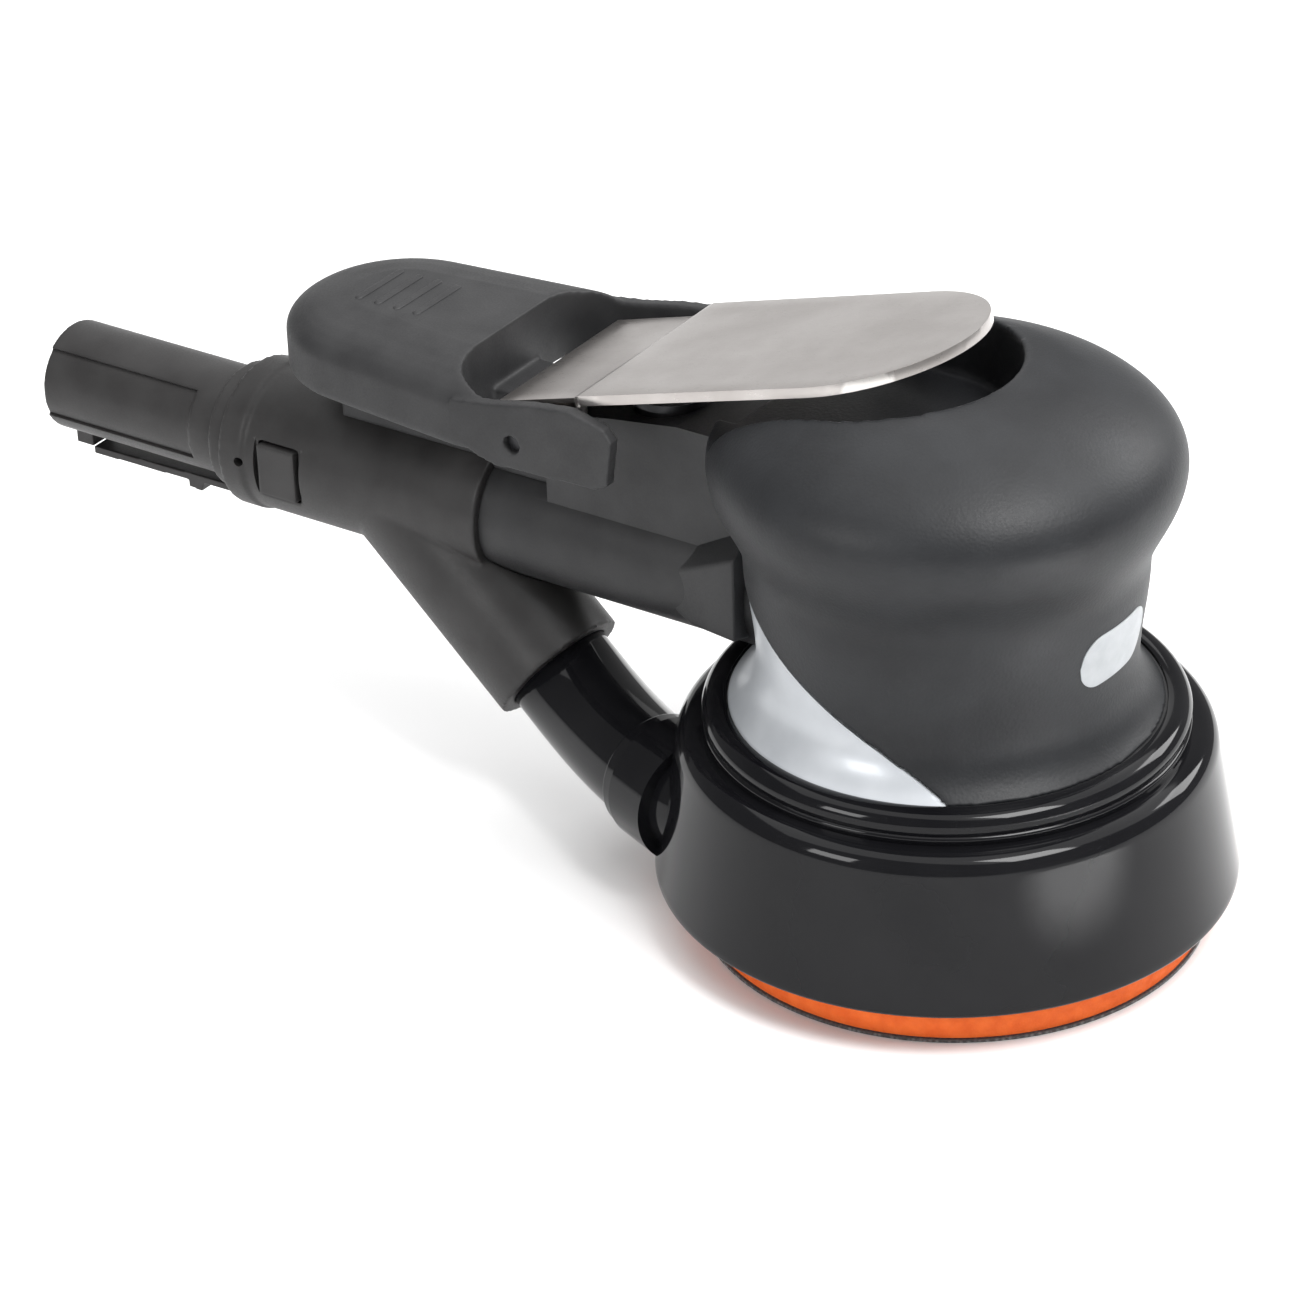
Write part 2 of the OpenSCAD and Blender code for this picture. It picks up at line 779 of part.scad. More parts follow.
module throttle_lever() {
    half = lever_w / 2;
    under_w = plate_top_w - lever_t;
    nose_u = lever_reach - half;
    color([0.69, 0.66, 0.64]) on_lever() difference() {
        union() {
            block([step_u, -half, under_w], [nose_u, half, plate_top_w]);
            translate([nose_u, 0, under_w]) cylinder(h = lever_t, r = half);
            block([step_u - 1.5, -tab_half, tab_top_w - lever_t], [step_u + 1.5, tab_half, plate_top_w]);
            block([-5, -tab_half, tab_top_w - lever_t], [step_u, tab_half, tab_top_w]);
            for (s = [-1, 1]) {
                rod_y(min(s * tab_half, s * (tab_half - lever_t)), max(s * tab_half, s * (tab_half - lever_t)), 4.6, 0, 0);
                block([-4.6, min(s * tab_half, s * (tab_half - lever_t)), 0],
                      [step_u, max(s * tab_half, s * (tab_half - lever_t)), tab_top_w]);
            }
        }
        rod_y(-half, half, pin_r + fit, 0, 0);
    }
}

module lever_pin() {
    color("silver") rod_y(-pin_half, pin_half, pin_r, pivot_x, pivot_z);
}

// Discs that a hull turns into one domed end of the platform
module dome_discs(x, half_w, y = 0) {
    translate([x, y, 76.5]) cylinder(h = 1, r = half_w - 1.5, $fn = 40);
    translate([x, y, 77.5]) cylinder(h = 7.3, r = half_w, $fn = 40);
    translate([x, y, 86.6]) cylinder(h = 0.6, r = half_w - 1.5, $fn = 40);
    translate([x, y, 88.7]) cylinder(h = 0.3, r = max(1, half_w - 5), $fn = 40);
    translate([x, y, 89.9]) cylinder(h = 0.2, r = max(0.5, half_w - 12), $fn = 40);
}

// Domed top with the two ears that carry the lever's pin
module platform_top(ear_in, ear_out) {
    hull() {
        dome_discs(-112, 21);
        for (s = [-1, 1]) dome_discs(-84, 12, s * 12);
    }
    for (s = [-1, 1]) translate([0, s > 0 ? ear_out : -ear_in, 0]) rotate([90, 0, 0])
        linear_extrude(height = ear_out - ear_in) polygon([
            [-92, 80], [-80, 75.5], [-55, 76.3], [-52, 77.5], [-51, 86], [-53, 88.5],
            [-60, 90.2], [-70, 88.2], [-92, 85.5]
        ]);
    block([-90, -ear_out, 80], [-80, ear_out, 85]);
}

module wrist_platform() {
    ear_in = 21.4;
    ear_out = 24;
    notch_x = -79;            // where the notch's straight sides end
    notch_r = 9;              // rounding of its inner corners
    color([0.25, 0.25, 0.26]) difference() {
        union() {
            difference() {
                platform_top(ear_in, ear_out);
                // room for the lever's tab and cheeks
                block([notch_x, -ear_in, 70], [-40, ear_in, 95]);
                block([notch_x - notch_r, notch_r - ear_in, 70], [notch_x + over, ear_in - notch_r, 95]);
                for (s = [-1, 1]) translate([notch_x, s * (ear_in - notch_r), 70])
                    cylinder(h = 25, r = notch_r);
            }
            block([-122, -7, 60], [-88.2, 7, 82]);
            block([-89, -7, 60], [pivot_x - 4.1, 7, 79.9]);
        }
        rod_x(-130, -seam_x, adapter_r + 0.05);
        rod_x(-seam_x - eps, -70, handle_r + 0.05);
        rod_y(-30, 30, pin_r + 0.02, pivot_x, pivot_z);
    }
}

hook_face();
pad_foam();
pad_plate();
pad_stud();
spindle();
spindle_screw();
spindle_inner_race();
spindle_balls();
spindle_outer_race();
snap_ring();
balancer_shaft();
rotor();
rotor_vanes();
rotor_key();
front_inner_race();
front_balls();
front_outer_race();
rear_inner_race();
rear_balls();
rear_outer_race();
front_plate();
cylinder_sleeve();
cylinder_pin();
rear_plate();
motor_gasket();
lock_ring();
housing();
comfort_grip();
barrel_band();
shroud();
shroud_collar();
dust_tube();
dust_adapter();
adapter_seal();
hose_fitting();
fitting_seal();
hose_latch();
inlet_bushing();
inlet_screen();
muffler_felts();
valve_seat();
valve_spring();
valve_stem();
valve_poppet();
valve_bushing();
stem_seal();
speed_regulator();
regulator_seal();
wrist_platform();
throttle_lever();
lever_pin();
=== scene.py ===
import bpy, bmesh, json, math
from mathutils import Vector, Matrix
from mathutils.bvhtree import BVHTree


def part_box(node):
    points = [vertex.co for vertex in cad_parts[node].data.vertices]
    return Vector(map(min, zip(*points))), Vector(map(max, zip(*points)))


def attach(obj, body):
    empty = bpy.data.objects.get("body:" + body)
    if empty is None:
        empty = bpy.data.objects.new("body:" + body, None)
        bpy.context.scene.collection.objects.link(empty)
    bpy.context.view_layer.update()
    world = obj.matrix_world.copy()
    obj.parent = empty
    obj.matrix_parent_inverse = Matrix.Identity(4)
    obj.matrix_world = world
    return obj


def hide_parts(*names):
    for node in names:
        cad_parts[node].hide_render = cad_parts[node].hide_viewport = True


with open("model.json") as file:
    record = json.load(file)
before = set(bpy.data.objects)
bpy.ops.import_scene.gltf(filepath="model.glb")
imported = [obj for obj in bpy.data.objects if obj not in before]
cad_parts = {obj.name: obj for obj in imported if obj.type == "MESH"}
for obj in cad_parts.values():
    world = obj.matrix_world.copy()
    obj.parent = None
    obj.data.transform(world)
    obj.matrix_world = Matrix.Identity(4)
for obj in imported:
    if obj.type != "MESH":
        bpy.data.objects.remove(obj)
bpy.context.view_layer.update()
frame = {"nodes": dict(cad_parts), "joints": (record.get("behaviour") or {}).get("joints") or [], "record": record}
print("stage: frame loaded")

mm = 0.001


def lowOf(node):
    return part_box(node)[0] / mm


def highOf(node):
    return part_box(node)[1] / mm


def jointPlace(name):
    found = [j for j in frame["joints"] if j["name"] == name]
    return Vector(found[0]["pos_m"]) / mm


def bezier(a, b, c, d, steps):
    # points of a cubic curve, last one left out so that curves can be chained
    out = []
    for i in range(steps):
        t = i / steps
        s = 1 - t
        out.append(tuple(s**3 * p + 3 * s * s * t * q + 3 * s * t * t * r + t**3 * e
                         for p, q, r, e in zip(a, b, c, d)))
    return out


def arc(cx, cz, r, start, end, steps):
    # round stretch of a profile, angles in degrees
    angles = [math.radians(start + (end - start) * i / steps) for i in range(steps + 1)]
    return [(cx + r * math.cos(a), cz + r * math.sin(a)) for a in angles]


def meshPiece(name, points, faces):
    # points in millimetres
    mesh = bpy.data.meshes.new(name)
    mesh.from_pydata([Vector(p) * mm for p in points], [], faces)
    mesh.validate()
    mesh.update()
    piece = bpy.data.objects.new(name, mesh)
    bpy.context.scene.collection.objects.link(piece)
    return piece


def lathePiece(name, profile, steps=192, centre=(0, 0)):
    # turns a closed outline of (radius, height) about the vertical axis
    points, faces, rings = [], [], []
    for r, z in profile:
        if r < 1e-6:
            rings.append([len(points)] * steps)
            points.append((centre[0], centre[1], z))
        else:
            rings.append(list(range(len(points), len(points) + steps)))
            for i in range(steps):
                a = 2 * math.pi * i / steps
                points.append((centre[0] + r * math.cos(a), centre[1] + r * math.sin(a), z))
    for k in range(len(rings)):
        below, above = rings[k], rings[(k + 1) % len(rings)]
        for i in range(steps):
            j = (i + 1) % steps
            face = []
            for v in (below[i], below[j], above[j], above[i]):
                if v not in face:
                    face.append(v)
            if len(face) > 2:
                faces.append(face)
    piece = meshPiece(name, points, faces)
    facesOut(piece)
    return piece


def ringAt(path, k, r, steps):
    # ring of points square to the path at its point k
    before, after = path[max(k - 1, 0)], path[min(k + 1, len(path) - 1)]
    way = (after - before).normalized()
    side = way.cross(Vector((0, 0, 1))).normalized()
    up = side.cross(way)
    angles = [2 * math.pi * i / steps for i in range(steps)]
    return [path[k] + r * (math.cos(a) * side + math.sin(a) * up) for a in angles]


def bandFaces(rows, wide, start=0):
    # quads between neighbouring closed rings of points
    faces = []
    for k in range(start, start + (rows - 1) * wide, wide):
        for i in range(wide):
            j = (i + 1) % wide
            faces.append([k + i, k + j, k + wide + j, k + wide + i])
    return faces


def tubePiece(name, path, profile, steps=72):
    # sweeps a pipe of (outer, inner) radius along a path of points
    points, faces = [], []
    count = len(path)
    for r in profile:
        for k in range(count):
            points += ringAt(path, k, r, steps)
    inner = count * steps
    faces += bandFaces(count, steps)
    faces += [quad[::-1] for quad in bandFaces(count, steps, inner)]
    for k, flip in ((0, True), (count - 1, False)):
        for i in range(steps):
            j = (i + 1) % steps
            quad = [k * steps + i, k * steps + j, inner + k * steps + j, inner + k * steps + i]
            faces.append(quad[::-1] if flip else quad)
    piece = meshPiece(name, points, faces)
    facesOut(piece)
    return piece


def prismPiece(name, outline, low, high, turn="y"):
    # extrudes an outline: turn "y" takes (x, z) points along Y, turn "z" takes (x, y) points along Z
    def place(p, h):
        return (p[0], h, p[1]) if turn == "y" else (p[0], p[1], h)
    n = len(outline)
    points = [place(p, low) for p in outline] + [place(p, high) for p in outline]
    faces = [list(range(n))[::-1], list(range(n, 2 * n))]
    faces += [[i, (i + 1) % n, n + (i + 1) % n, n + i] for i in range(n)]
    piece = meshPiece(name, points, faces)
    facesOut(piece)
    return piece


def boxPiece(name, low, high):
    return prismPiece(name, [(low[0], low[1]), (high[0], low[1]), (high[0], high[1]), (low[0], high[1])],
                      low[2], high[2], "z")


def rodPiece(name, start, end, r, steps=64):
    start, end = Vector(start), Vector(end)
    rod = lathePiece(name, [(0, 0), (r, 0), (r, (end - start).length), (0, (end - start).length)], steps)
    turn = (end - start).to_track_quat("Z", "Y").to_matrix().to_4x4()
    rod.data.transform(Matrix.Translation(start * mm) @ turn)
    return rod


def facesOut(piece):
    mesh = bmesh.new()
    mesh.from_mesh(piece.data)
    bmesh.ops.remove_doubles(mesh, verts=mesh.verts, dist=1e-7)
    bmesh.ops.recalc_face_normals(mesh, faces=mesh.faces)
    mesh.to_mesh(piece.data)
    mesh.free()


def settle(piece):
    # bakes the modifiers into the mesh
    bpy.context.view_layer.update()
    graph = bpy.context.evaluated_depsgraph_get()
    final = bpy.data.meshes.new_from_object(piece.evaluated_get(graph))
    piece.modifiers.clear()
    piece.data = final


def combine(piece, tool, how):
    # boolean of piece with tool, and the tool is thrown away
    step = piece.modifiers.new("combine", "BOOLEAN")
    step.operation = how
    step.solver = "MANIFOLD"
    step.object = tool
    settle(piece)
    bpy.data.objects.remove(tool)


def cut(piece, tool):
    combine(piece, tool, "DIFFERENCE")


def addTo(piece, tool):
    combine(piece, tool, "UNION")


def soften(piece, voxel, rounds, factor=0.5):
    # even grid over the whole surface, then its edges are rounded as a mould rounds them
    grid = piece.modifiers.new("grid", "REMESH")
    grid.mode = "VOXEL"
    grid.voxel_size = voxel * mm
    grid.use_smooth_shade = True
    smooth = piece.modifiers.new("smooth", "SMOOTH")
    smooth.factor = factor
    smooth.iterations = rounds
    settle(piece)


def bevelEdges(piece, width, segments=3, angle=35):
    bevel = piece.modifiers.new("bevel", "BEVEL")
    bevel.width = width * mm
    bevel.segments = segments
    bevel.limit_method = "ANGLE"
    bevel.angle_limit = math.radians(angle)
    bevel.harden_normals = False
    settle(piece)


def shade(piece, angle=35):
    piece.data.shade_smooth()
    piece.data.set_sharp_from_angle(angle=math.radians(angle))


def copyOfNode(node, name):
    piece = bpy.data.objects.new(name, frame["nodes"][node].data.copy())
    piece.data.materials.clear()
    bpy.context.scene.collection.objects.link(piece)
    facesOut(piece)
    return piece


def finishPiece(piece, body, material, stands=(), angle=35):
    piece.data.materials.clear()
    piece.data.materials.append(material)
    shade(piece, angle)
    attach(piece, body)
    if stands:
        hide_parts(*stands)


def treeOf(piece):
    mesh = bmesh.new()
    mesh.from_mesh(piece.data)
    tree = BVHTree.FromBMesh(mesh)
    mesh.free()
    return tree


def newMaterial(name):
    material = bpy.data.materials.new(name)
    material.use_nodes = True
    nodes, links = material.node_tree.nodes, material.node_tree.links
    shader = nodes["Principled BSDF"]
    place = nodes.new("ShaderNodeTexCoord").outputs["Object"]
    return material, nodes, links, shader, place


def noiseOf(nodes, links, place, size, detail=4, stretch=None):
    # size is the width of one blotch in millimetres
    if stretch:
        mapping = nodes.new("ShaderNodeMapping")
        mapping.inputs["Scale"].default_value = stretch
        links.new(place, mapping.inputs["Vector"])
        place = mapping.outputs["Vector"]
    noise = nodes.new("ShaderNodeTexNoise")
    noise.inputs["Scale"].default_value = 1 / (size * mm)
    noise.inputs["Detail"].default_value = detail
    links.new(place, noise.inputs["Vector"])
    return noise.outputs["Fac"]


def blendColours(nodes, links, value, first, second, low=0.35, high=0.65):
    ramp = nodes.new("ShaderNodeValToRGB")
    ramp.color_ramp.elements[0].position = low
    ramp.color_ramp.elements[0].color = (*first, 1)
    ramp.color_ramp.elements[1].position = high
    ramp.color_ramp.elements[1].color = (*second, 1)
    links.new(value, ramp.inputs["Fac"])
    return ramp.outputs["Color"]


def spread(nodes, links, value, low, high):
    # maps 0.3..0.7 of a noise to low..high
    ranged = nodes.new("ShaderNodeMapRange")
    ranged.inputs["From Min"].default_value = 0.3
    ranged.inputs["From Max"].default_value = 0.7
    ranged.inputs["To Min"].default_value = low
    ranged.inputs["To Max"].default_value = high
    links.new(value, ranged.inputs["Value"])
    return ranged.outputs["Result"]


def bumpFrom(nodes, links, height, depth, strength, before=None):
    # depth is the height of the bumps in millimetres
    bump = nodes.new("ShaderNodeBump")
    bump.inputs["Distance"].default_value = depth * mm
    bump.inputs["Strength"].default_value = strength
    links.new(height, bump.inputs["Height"])
    if before:
        links.new(before, bump.inputs["Normal"])
    return bump.outputs["Normal"]


def edgeWearAndHighlight(nodes, links, low, high):
    # white on sharp outer edges, black elsewhere: a mask for edge wear and painted highlight
    ramp = nodes.new("ShaderNodeValToRGB")
    ramp.color_ramp.elements[0].position = low
    ramp.color_ramp.elements[1].position = high
    links.new(nodes.new("ShaderNodeNewGeometry").outputs["Pointiness"], ramp.inputs["Fac"])
    return ramp.outputs["Color"]


def mixed(nodes, links, share, first, second):
    mix = nodes.new("ShaderNodeMix")
    mix.data_type = "RGBA"
    links.new(share, mix.inputs["Factor"])
    links.new(first, mix.inputs["A"])
    mix.inputs["B"].default_value = (*second, 1)
    return mix.outputs["Result"]


def simpleFinish(name, look):
    # colour blotches, uneven gloss and a fine grain, and where asked a lighter colour on the outer edges, partly wear
    # and partly painted highlight
    material, nodes, links, shader, place = newMaterial(name)
    blotch = noiseOf(nodes, links, place, look["blotch"])
    grain = noiseOf(nodes, links, place, look["grain"], 3, look.get("stretch"))
    colour = blendColours(nodes, links, blotch, look["dark"], look["light"])
    # lighter outer edges: partly wear, partly painted highlight
    if "wornAndHighlightColour" in look:
        wearAndHighlightMask = edgeWearAndHighlight(nodes, links, *look["wearAndHighlightRange"])
        colour = mixed(nodes, links, wearAndHighlightMask, colour, look["wornAndHighlightColour"])
    links.new(colour, shader.inputs["Base Color"])
    links.new(spread(nodes, links, grain, *look["rough"]), shader.inputs["Roughness"])
    links.new(bumpFrom(nodes, links, grain, look["depth"], look["bump"]), shader.inputs["Normal"])
    shader.inputs["Metallic"].default_value = look.get("metal", 0)
    shader.inputs["Specular IOR Level"].default_value = look.get("specular", 0.5)
    shader.inputs["Coat Weight"].default_value = look.get("coat", 0)
    shader.inputs["Coat Roughness"].default_value = 0.05
    shader.inputs["Sheen Weight"].default_value = look.get("sheen", 0)
    return material


gripFinish = {
    "dark": (0.011, 0.0115, 0.013), "light": (0.017, 0.018, 0.020), "blotch": 14,
    "rough": (0.42, 0.54), "specular": 0.28, "pebble": 0.55, "pebbleDepth": 0.05, "fine": 0.18,
}


def softGripRubber():
    # pebbled soft rubber of the head
    look = gripFinish
    material, nodes, links, shader, place = newMaterial("softGripRubber")
    colour = blendColours(nodes, links, noiseOf(nodes, links, place, look["blotch"]), look["dark"], look["light"])
    links.new(colour, shader.inputs["Base Color"])
    cells = nodes.new("ShaderNodeTexVoronoi")
    cells.feature = "SMOOTH_F1"
    cells.inputs["Scale"].default_value = 1 / (look["pebble"] * mm)
    links.new(place, cells.inputs["Vector"])
    fine = noiseOf(nodes, links, place, look["fine"], 2)
    links.new(spread(nodes, links, fine, *look["rough"]), shader.inputs["Roughness"])
    pebbles = bumpFrom(nodes, links, cells.outputs["Distance"], look["pebbleDepth"], 0.55)
    links.new(bumpFrom(nodes, links, fine, 0.02, 0.3, pebbles), shader.inputs["Normal"])
    shader.inputs["Specular IOR Level"].default_value = look["specular"]
    return material


def mouldedNylon(name, dark, light, rough, depth=0.03):
    # spark-eroded black plastic with slightly polished edges, which are painted lighter: partly wear, partly painted
    # highlight
    return simpleFinish(name, {
        "dark": dark, "light": light, "blotch": 9, "grain": 0.35, "rough": rough, "depth": depth, "bump": 0.35,
        "specular": 0.32, "wornAndHighlightColour": tuple(min(1, c * 1.9 + 0.01) for c in light), "wearAndHighlightRange": (0.56, 0.68)})


def glossBlack():
    # polished black plastic of the shroud, with a few fine rub marks in the gloss
    return simpleFinish("glossBlack", {
        "dark": (0.004, 0.004, 0.005), "light": (0.007, 0.007, 0.008), "blotch": 20, "grain": 3.5,
        "rough": (0.05, 0.10), "depth": 0.006, "bump": 0.12, "specular": 0.2})


def satinNickel():
    # lever: fine brushed lines along the lever, with a painted highlight that brightens its edges
    look = {"dark": (0.38, 0.355, 0.34), "light": (0.45, 0.425, 0.41), "blotch": 12, "grain": 0.16,
            "stretch": (0.03, 1, 0.25), "rough": (0.27, 0.36), "depth": 0.006, "bump": 0.22, "metal": 1,
            "wornAndHighlightColour": (0.80, 0.77, 0.74), "wearAndHighlightRange": (0.53, 0.60)}
    return simpleFinish("satinNickel", look)


def machinedSteel():
    return simpleFinish("machinedSteel", {
        "dark": (0.42, 0.43, 0.44), "light": (0.55, 0.56, 0.57), "blotch": 4, "grain": 0.12, "stretch": (1, 1, 0.1),
        "rough": (0.25, 0.4), "depth": 0.008, "bump": 0.3, "metal": 1})


def bearingSteel():
    return simpleFinish("bearingSteel", {
        "dark": (0.66, 0.67, 0.68), "light": (0.74, 0.75, 0.76), "blotch": 6, "grain": 0.8,
        "rough": (0.08, 0.14), "depth": 0.002, "bump": 0.2, "metal": 1})


def castAluminium():
    return simpleFinish("castAluminium", {
        "dark": (0.5, 0.5, 0.51), "light": (0.62, 0.62, 0.63), "blotch": 5, "grain": 0.4,
        "rough": (0.4, 0.55), "depth": 0.03, "bump": 0.4, "metal": 1})


def blackAnodised():
    return simpleFinish("blackAnodised", {
        "dark": (0.020, 0.020, 0.022), "light": (0.035, 0.035, 0.038), "blotch": 3, "grain": 0.1,
        "stretch": (1, 1, 0.1), "rough": (0.3, 0.42), "depth": 0.006, "bump": 0.3, "metal": 0.6})


def turnedBrass():
    return simpleFinish("turnedBrass", {
        "dark": (0.60, 0.43, 0.17), "light": (0.74, 0.56, 0.26), "blotch": 3, "grain": 0.1, "stretch": (1, 1, 0.1),
        "rough": (0.22, 0.36), "depth": 0.006, "bump": 0.3, "metal": 1})


def sealRubber():
    return simpleFinish("sealRubber", {
        "dark": (0.010, 0.010, 0.010), "light": (0.018, 0.018, 0.018), "blotch": 4, "grain": 0.25,
        "rough": (0.45, 0.6), "depth": 0.01, "bump": 0.3})


def pressedFelt():
    return simpleFinish("pressedFelt", {
        "dark": (0.50, 0.47, 0.40), "light": (0.72, 0.69, 0.62), "blotch": 0.8, "grain": 0.12,
        "rough": (0.85, 0.95), "depth": 0.08, "bump": 0.7, "sheen": 0.4})


def vaneResin():
    return simpleFinish("vaneResin", {
        "dark": (0.20, 0.11, 0.05), "light": (0.34, 0.20, 0.09), "blotch": 1.5, "grain": 0.2, "stretch": (1, 1, 0.05),
        "rough": (0.5, 0.65), "depth": 0.02, "bump": 0.4})


def silverLacquer():
    # metallic silver lacquer of the crescent at the foot of the head
    return simpleFinish("silverLacquer", {
        "dark": (0.44, 0.46, 0.485), "light": (0.50, 0.52, 0.545), "blotch": 10, "grain": 0.12,
        "rough": (0.34, 0.42), "depth": 0.004, "bump": 0.25, "metal": 0.25, "coat": 0.2})


def padFoamFinish():
    # orange foam with fine open cells
    material, nodes, links, shader, place = newMaterial("padFoamFinish")
    colour = blendColours(nodes, links, noiseOf(nodes, links, place, 3), (0.80, 0.125, 0.018), (0.90, 0.165, 0.028))
    links.new(colour, shader.inputs["Base Color"])
    cells = nodes.new("ShaderNodeTexVoronoi")
    cells.inputs["Scale"].default_value = 1 / (0.45 * mm)
    links.new(place, cells.inputs["Vector"])
    links.new(spread(nodes, links, cells.outputs["Distance"], 0.6, 0.75), shader.inputs["Roughness"])
    links.new(bumpFrom(nodes, links, cells.outputs["Distance"], 0.06, 0.5), shader.inputs["Normal"])
    shader.inputs["Specular IOR Level"].default_value = 0.25
    return material


def padPlateFinish():
    return simpleFinish("padPlateFinish", {
        "dark": (0.62, 0.15, 0.03), "light": (0.70, 0.19, 0.04), "blotch": 6, "grain": 0.4,
        "rough": (0.45, 0.55), "depth": 0.02, "bump": 0.3})


def hookFieldFinish():
    # field of small hooks, as rows of fine dark points
    material, nodes, links, shader, place = newMaterial("hookFieldFinish")
    rows = nodes.new("ShaderNodeTexVoronoi")
    rows.inputs["Scale"].default_value = 1 / (0.9 * mm)
    rows.inputs["Randomness"].default_value = 0.35
    links.new(place, rows.inputs["Vector"])
    colour = blendColours(nodes, links, rows.outputs["Distance"], (0.20, 0.19, 0.19), (0.06, 0.055, 0.055), 0.1, 0.5)
    links.new(colour, shader.inputs["Base Color"])
    links.new(spread(nodes, links, rows.outputs["Distance"], 0.6, 0.85), shader.inputs["Roughness"])
    links.new(bumpFrom(nodes, links, rows.outputs["Distance"], 0.35, 0.8), shader.inputs["Normal"])
    shader.inputs["Sheen Weight"].default_value = 0.2
    return material


def badgePaint():
    # plain pale print on the grip
    return simpleFinish("badgePaint", {
        "dark": (0.33, 0.345, 0.36), "light": (0.38, 0.395, 0.41), "blotch": 4, "grain": 0.2,
        "rough": (0.38, 0.5), "depth": 0.008, "bump": 0.3})


gripRubber = softGripRubber()
handlePlastic = mouldedNylon("handlePlastic", (0.017, 0.017, 0.018), (0.025, 0.025, 0.026), (0.42, 0.55))
adapterPlastic = mouldedNylon("adapterPlastic", (0.019, 0.018, 0.018), (0.028, 0.027, 0.027), (0.40, 0.52))
platformPlastic = mouldedNylon("platformPlastic", (0.019, 0.019, 0.020), (0.028, 0.028, 0.029), (0.50, 0.62), 0.04)
blackGloss = glossBlack()
nickel = satinNickel()
steel = machinedSteel()
hardSteel = bearingSteel()
aluminium = castAluminium()
brass = turnedBrass()
anodised = blackAnodised()
rubber = sealRubber()
felt = pressedFelt()
resin = vaneResin()
silver = silverLacquer()
foamOrange = padFoamFinish()
plateOrange = padPlateFinish()
hooks = hookFieldFinish()
badgeWhite = badgePaint()
print("stage: materials made")


bySlot = {
    "hook_loop": hooks, "pad_foam": foamOrange, "pad_plate": plateOrange, "steel": steel,
    "bearing_steel": hardSteel, "vane_resin": resin, "cast_plate": aluminium, "seal_rubber": rubber,
    "handle_composite": handlePlastic, "grip_rubber": gripRubber, "silver_band": silver,
    "gloss_black": blackGloss, "adapter_plastic": adapterPlastic, "brass": brass, "felt": felt,
    "platform_plastic": platformPlastic, "lever_metal": nickel, "dark_anodised": anodised,
}
byNode = {"lever_pin": anodised}  # pieces with a finish of their own


def dressCadNodes():
    for part in frame["record"]["subparts"]:
        node = frame["nodes"][part["node"]]
        node.data.materials.clear()
        node.data.materials.append(byNode.get(part["node"], bySlot[part["material_slot"]]))
        shade(node, 32)


dressCadNodes()
print("stage: CAD nodes dressed")


# millimetres everywhere below, angles in degrees
padShape = {"holes": 6, "holeRadius": 4, "holeCircle": 29, "bulge": 0.35, "topInset": 1.2, "rounding": 1.0}


def makePad():
    # foam disc with a slight bulge, soft edges and the dust holes
    low, high = lowOf("pad_foam"), highOf("pad_foam")
    r = (high.x - low.x) / 2 - padShape["bulge"]
    centre = ((high.x + low.x) / 2, 0)
    rounding = padShape["rounding"]
    side = [(r + padShape["bulge"] * math.sin(math.pi * t / 8) - padShape["topInset"] * (t / 8) ** 3,
             low.z + rounding + (high.z - low.z - 2 * rounding) * t / 8) for t in range(9)]
    outline = [(0, low.z), (r * 0.5, low.z)] + arc(r - 0.3, low.z + 0.3, 0.3, -90, 0, 3) + side
    outline += arc(r - padShape["topInset"] - rounding, high.z - rounding, rounding, 20, 90, 4) + [(0, high.z)]
    foam = lathePiece("padFoam", outline, 200, centre)
    for i in range(padShape["holes"]):
        a = 2 * math.pi * (i + 0.5) / padShape["holes"]
        x = centre[0] + padShape["holeCircle"] * math.cos(a)
        y = padShape["holeCircle"] * math.sin(a)
        cut(foam, rodPiece("hole", (x, y, low.z - 2), (x, y, high.z + 2), padShape["holeRadius"], 40))
    finishPiece(foam, "pad", foamOrange, ["pad_foam"], 40)


makePad()
print("stage: pad made")


shroudShape = {
    "topRadius": 46.6, "shoulder": 33, "lip": 42.2, "foot": 37.65, "wall": 2.5, "topWall": 3, "rounding": 0.8,
}
collarShape = {"edge": 0.6, "edgeHeight": 0.9, "bead": 2.9, "beadInset": 1.4}
tubeShape = {
    "cuffEnd": (-77.8, -4.8, 25.5), "cuffPull": 14.7, "portAngle": 43.1, "portHeight": 20.3,
    "portRadius": 26.4, "portPull": 20.8, "radius": 10, "wall": 2, "flange": 1.2, "flangeShare": 0.5,
}


def tubeRoute(branchStart, steps=60):
    # from the adapter's cuff down and round into the shroud
    cuff = Vector(tubeShape["cuffEnd"])
    way = (cuff - branchStart).normalized()
    a = math.radians(tubeShape["portAngle"])
    inward = Vector((math.cos(a), math.sin(a), 0))
    port = -tubeShape["portRadius"] * inward + Vector((0, 0, tubeShape["portHeight"]))
    route = bezier(cuff, cuff + tubeShape["cuffPull"] * way, port - tubeShape["portPull"] * inward, port, steps)
    return [Vector(p) for p in route] + [port, port + 3 * inward], way


def tubeBar(name, branchStart, r):
    # solid bar along the tube's whole way, for cutting
    route, way = tubeRoute(branchStart)
    path = [route[0] - way * d for d in (18, 9)] + route
    points, steps = [], 96
    for k in range(len(path)):
        points += ringAt(path, k, r, steps)
    faces = bandFaces(len(path), steps)
    faces.append(list(range(steps))[::-1])
    faces.append(list(range((len(path) - 1) * steps, len(path) * steps)))
    bar = meshPiece(name, points, faces)
    facesOut(bar)
    return bar


